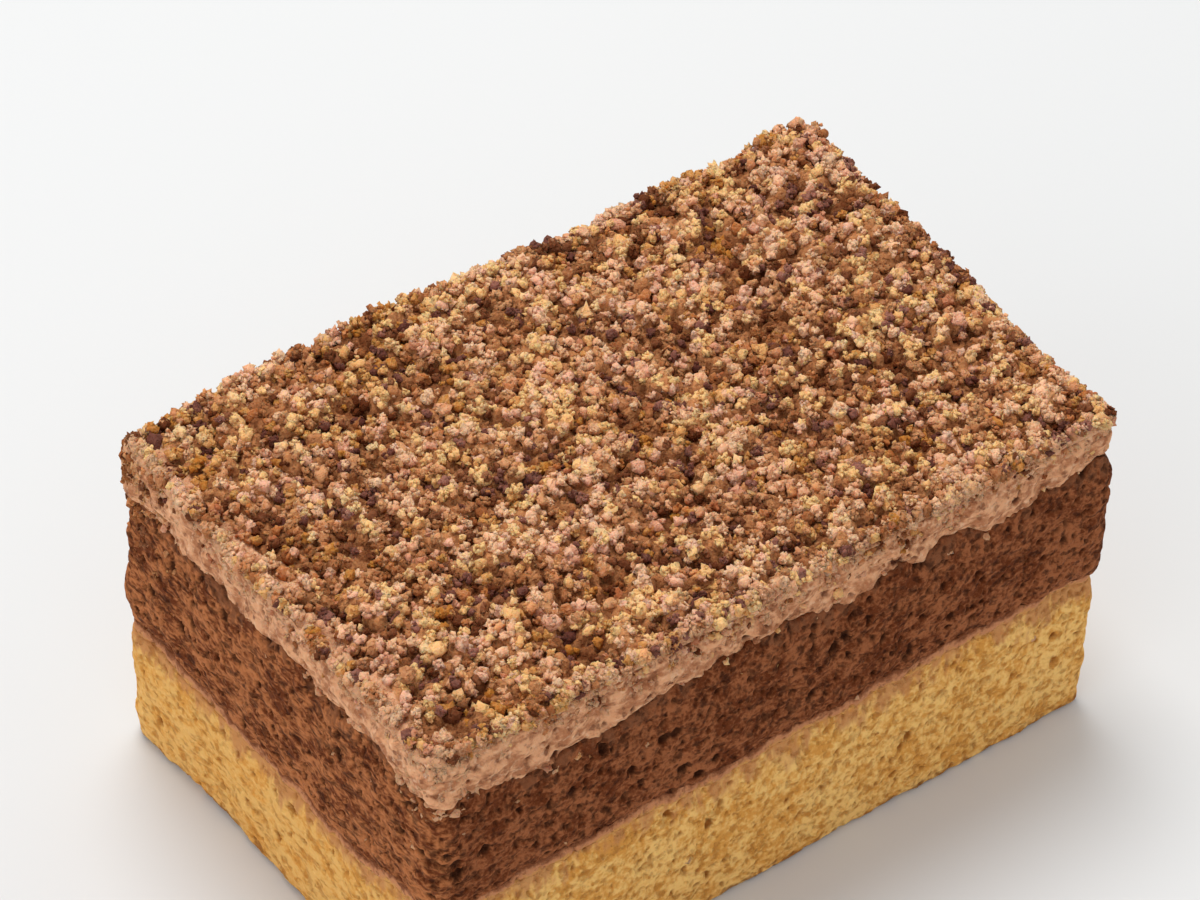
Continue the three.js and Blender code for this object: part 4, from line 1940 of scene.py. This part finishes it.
@dataclass
class Slice:
    """The whole slice: four layers, the crumb bed and the loose crumbs."""

    stack: Stack = Stack(Plan())

    def vanilla(self) -> Layer:
        """The vanilla sponge, the lowest layer, rounded at its base.

        Returns:
            The layer.
        """
        return Sponge(
            "vanilla_layer", "vanilla_sponge", "vanilla_sponge", VANILLA, self.stack,
            self.stack.ground, self.stack.seam_bottom, bulge=0.6 * MM,
            lump=Wave(0.22 * MM, 1.3 * MM),
            base_rounding=0.8 * MM,
            swellings=(Swelling(BACK_LEFT, 1.1 * MM, 14 * MM),),
            cells=(
                Balls(1.15 * MM, 0.25 * MM, 0.5 * MM, 0.75, Chance.VANILLA_FINE, (1, 1, 1.15)),
                Balls(3.0 * MM, 0.5 * MM, 0.85 * MM, 0.4, Chance.VANILLA_COARSE, (1, 1, 1.2)),
            ),
        )

    def seam(self) -> Layer:
        """The thin seam of mousse between the sponges.

        Returns:
            The layer.
        """
        return Sponge(
            "seam_layer", "mousse_seam", "seam", SEAM, self.stack,
            self.stack.seam_bottom, self.stack.seam_top, bulge=0.1 * MM, step=0.25 * MM,
            crag=Wave(0.45 * MM, 4 * MM),
            lump=Wave(0.25 * MM, 1.3 * MM),
            swellings=(Swelling(BACK_LEFT, 0.8 * MM, 12 * MM),),
            cells=(Balls(1.3 * MM, 0.25 * MM, 0.6 * MM, 0.7, Chance.SEAM_CELLS),),
        )

    def chocolate(self) -> Layer:
        """The chocolate sponge, with larger voids just under the mousse.

        Returns:
            The layer.
        """
        return Sponge(
            "chocolate_layer", "chocolate_sponge", "chocolate_sponge", CHOCOLATE, self.stack,
            self.stack.seam_top, self.stack.mousse_bottom, bulge=0.9 * MM, step=0.27 * MM,
            crag=Wave(0.5 * MM, 4 * MM),
            lump=Wave(0.3 * MM, 1.3 * MM),
            swellings=(
                Swelling(BACK_LEFT, -0.3 * MM, 12 * MM),
                Swelling((*BACK_LEFT, 25 * MM), 1.3 * MM, (12 * MM, 12 * MM, 6 * MM)),
                Swelling((*FRONT_RIGHT, 26 * MM), 0.9 * MM, (10 * MM, 10 * MM, 4 * MM)),
                Swelling((*FRONT_RIGHT, 41 * MM), 0.5 * MM, (10 * MM, 10 * MM, 5 * MM)),
            ),
            cells=(
                Balls(1.05 * MM, 0.28 * MM, 0.55 * MM, 0.85, Chance.CHOCOLATE_FINE, (1, 1, 1.2)),
                Balls(2.8 * MM, 0.5 * MM, 0.95 * MM, 0.5, Chance.CHOCOLATE_COARSE, (1, 1, 1.3)),
            ),
            top_voids=Balls(3.4 * MM, 0.6 * MM, 1.1 * MM, 0.8, Chance.CHOCOLATE_VOIDS),
        )

    def mousse(self) -> Layer:
        """The layer of mousse, whose cut edge shows under the crumbs.

        Returns:
            The layer.
        """
        return Mousse(
            "mousse_band", "mousse_layer", "mousse", MOUSSE, self.stack,
            self.stack.mousse_bottom, self.stack.crumb_bottom, bulge=0.4 * MM, step=0.2 * MM,
            crag=Wave(0.6 * MM, 3 * MM),
            lump=Wave(0.75 * MM, 2 * MM),
            fullness=3.0,
            swellings=(
                Swelling(FRONT_LEFT, 0.6 * MM, 9 * MM),
                Swelling(BACK_LEFT, 0.5 * MM, 10 * MM),
            ),
        )

    def settle(self, piece: bpy.types.Object, node: str, finish: Finish) -> None:
        """Dresses a piece, hides the solid that it stands for, and says what it rides on.

        Args:
            piece: The piece.
            node: The solid that it stands for.
            finish: The finish.
        """
        piece.data.materials.append(finish.material())
        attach(piece, BODY)
        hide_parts(node)
        piece.data.calc_loop_triangles()
        LOG.info("%s: %d triangles", piece.name, len(piece.data.loop_triangles))

    def build(self) -> None:
        """Builds all the layers from the ground up, then the crumb bed and the loose crumbs."""
        for layer in (self.vanilla(), self.seam(), self.chocolate(), self.mousse()):
            self.settle(layer.build(), layer.node, layer.finish)
        bed = CrumbBed(self.stack)
        self.settle(bed.build(), "crumb_coat", BED)
        loose = LooseCrumbs(self.stack.plan, self.stack, bed)
        for piece, kind in zip(loose.build(), Crumb, strict=True):
            self.settle(piece, "crumb_coat", kind.finish)


# ---- The studio ----


@dataclass(frozen=True)
class Camera:
    """The camera, at the angle and distance worked out from the slice's corners."""

    focal_length: float = 135.1
    sensor: float = 36.0
    azimuth: float = -36.125
    elevation: float = 44.34
    roll: float = 0.884
    distance: float = 617.8 * MM
    nearest: float = 10 * MM
    aim: tuple[float, float, float] = (26.12 * MM, 40.86 * MM, 0.0)

    def build(self) -> None:
        """Adds the camera. It looks back along its azimuth and elevation, turned by its roll."""
        azimuth, elevation = math.radians(self.azimuth), math.radians(self.elevation)
        back = Vector(
            (
                math.sin(azimuth) * math.cos(elevation),
                -math.cos(azimuth) * math.cos(elevation),
                math.sin(elevation),
            )
        )
        right = Vector((math.cos(azimuth), math.sin(azimuth), 0))
        up = back.cross(right)
        turn = Matrix((right, up, back)).transposed() @ Matrix.Rotation(
            math.radians(self.roll), 3, "Z"
        )
        data = bpy.data.cameras.new("camera")
        data.lens = self.focal_length
        data.sensor_width = self.sensor
        data.clip_start = self.nearest
        made = bpy.data.objects.new("camera", data)
        made.matrix_world = Matrix.Translation(
            Vector(self.aim) + back * self.distance
        ) @ turn.to_4x4()
        bpy.context.scene.collection.objects.link(made)
        bpy.context.scene.camera = made


@dataclass(frozen=True)
class Lamp:
    """A large soft lamp that points at the slice."""

    name: str
    place: tuple[float, float, float]
    size: float
    power: float
    aim: tuple[float, float, float] = (0, 0, 30 * MM)

    def build(self) -> None:
        """Adds the lamp, turned towards its aim."""
        data = bpy.data.lights.new(self.name, "AREA")
        data.shape = "DISK"
        data.size = self.size
        data.energy = self.power
        made = bpy.data.objects.new(self.name, data)
        made.location = self.place
        towards = Vector(self.aim) - Vector(self.place)
        made.rotation_euler = towards.to_track_quat("-Z", "Y").to_euler()
        bpy.context.scene.collection.objects.link(made)


@dataclass(frozen=True)
class Studio:
    """A pale floor, a key lamp behind, a soft one on the left, and light from all round."""

    floor_size: float = 6.0
    floor_colour: tuple[float, ...] = colour(221, 222, 222)
    floor_speck: tuple[float, ...] = colour(220, 220, 216)
    floor_speck_share: float = 0.03
    floor_grain: float = 2 * MM
    floor_relief: float = 0.01 * MM
    floor_roughness: float = 0.75
    sky_colour: tuple[float, ...] = (1.0, 1.0, 1.0, 1.0)
    sky_strength: float = 0.62
    lamps: tuple[Lamp, ...] = (
        Lamp("key", (0.05, 0.27, 0.92), 0.45, 5.5),
        Lamp("fill", (-1.05, -0.15, 0.5), 1.2, 2.65),
    )

    def floor(self) -> None:
        """Adds the floor, a square that the slice stands on."""
        half = self.floor_size / 2
        points = half * np.array([(-1, -1, 0), (1, -1, 0), (1, 1, 0), (-1, 1, 0)], float)
        made = piece_of("floor", points, [np.array([[0, 1, 2, 3]])], {}, False)
        graph = Graph("floor")
        fine = graph.noise(self.floor_grain, 2)
        base = graph.mix(fine * self.floor_speck_share, self.floor_colour, self.floor_speck)
        finished = graph.finish(base, self.floor_roughness, fine, self.floor_relief, {})
        made.data.materials.append(finished)

    def build(self) -> None:
        """Adds the floor, the lamps and the light from all round."""
        self.floor()
        for lamp in self.lamps:
            lamp.build()
        world = bpy.data.worlds.new("studio")
        world.use_nodes = True
        background = world.node_tree.nodes["Background"]
        background.inputs["Color"].default_value = self.sky_colour
        background.inputs["Strength"].default_value = self.sky_strength
        bpy.context.scene.world = world
        bpy.context.scene.view_settings.view_transform = "Standard"


def main() -> None:
    """Builds the camera, the slice and the studio."""
    logging.basicConfig(level=logging.INFO, format="%(name)s: %(message)s")
    Camera().build()
    Slice().build()
    Studio().build()


if __name__ == "__main__":
    main()
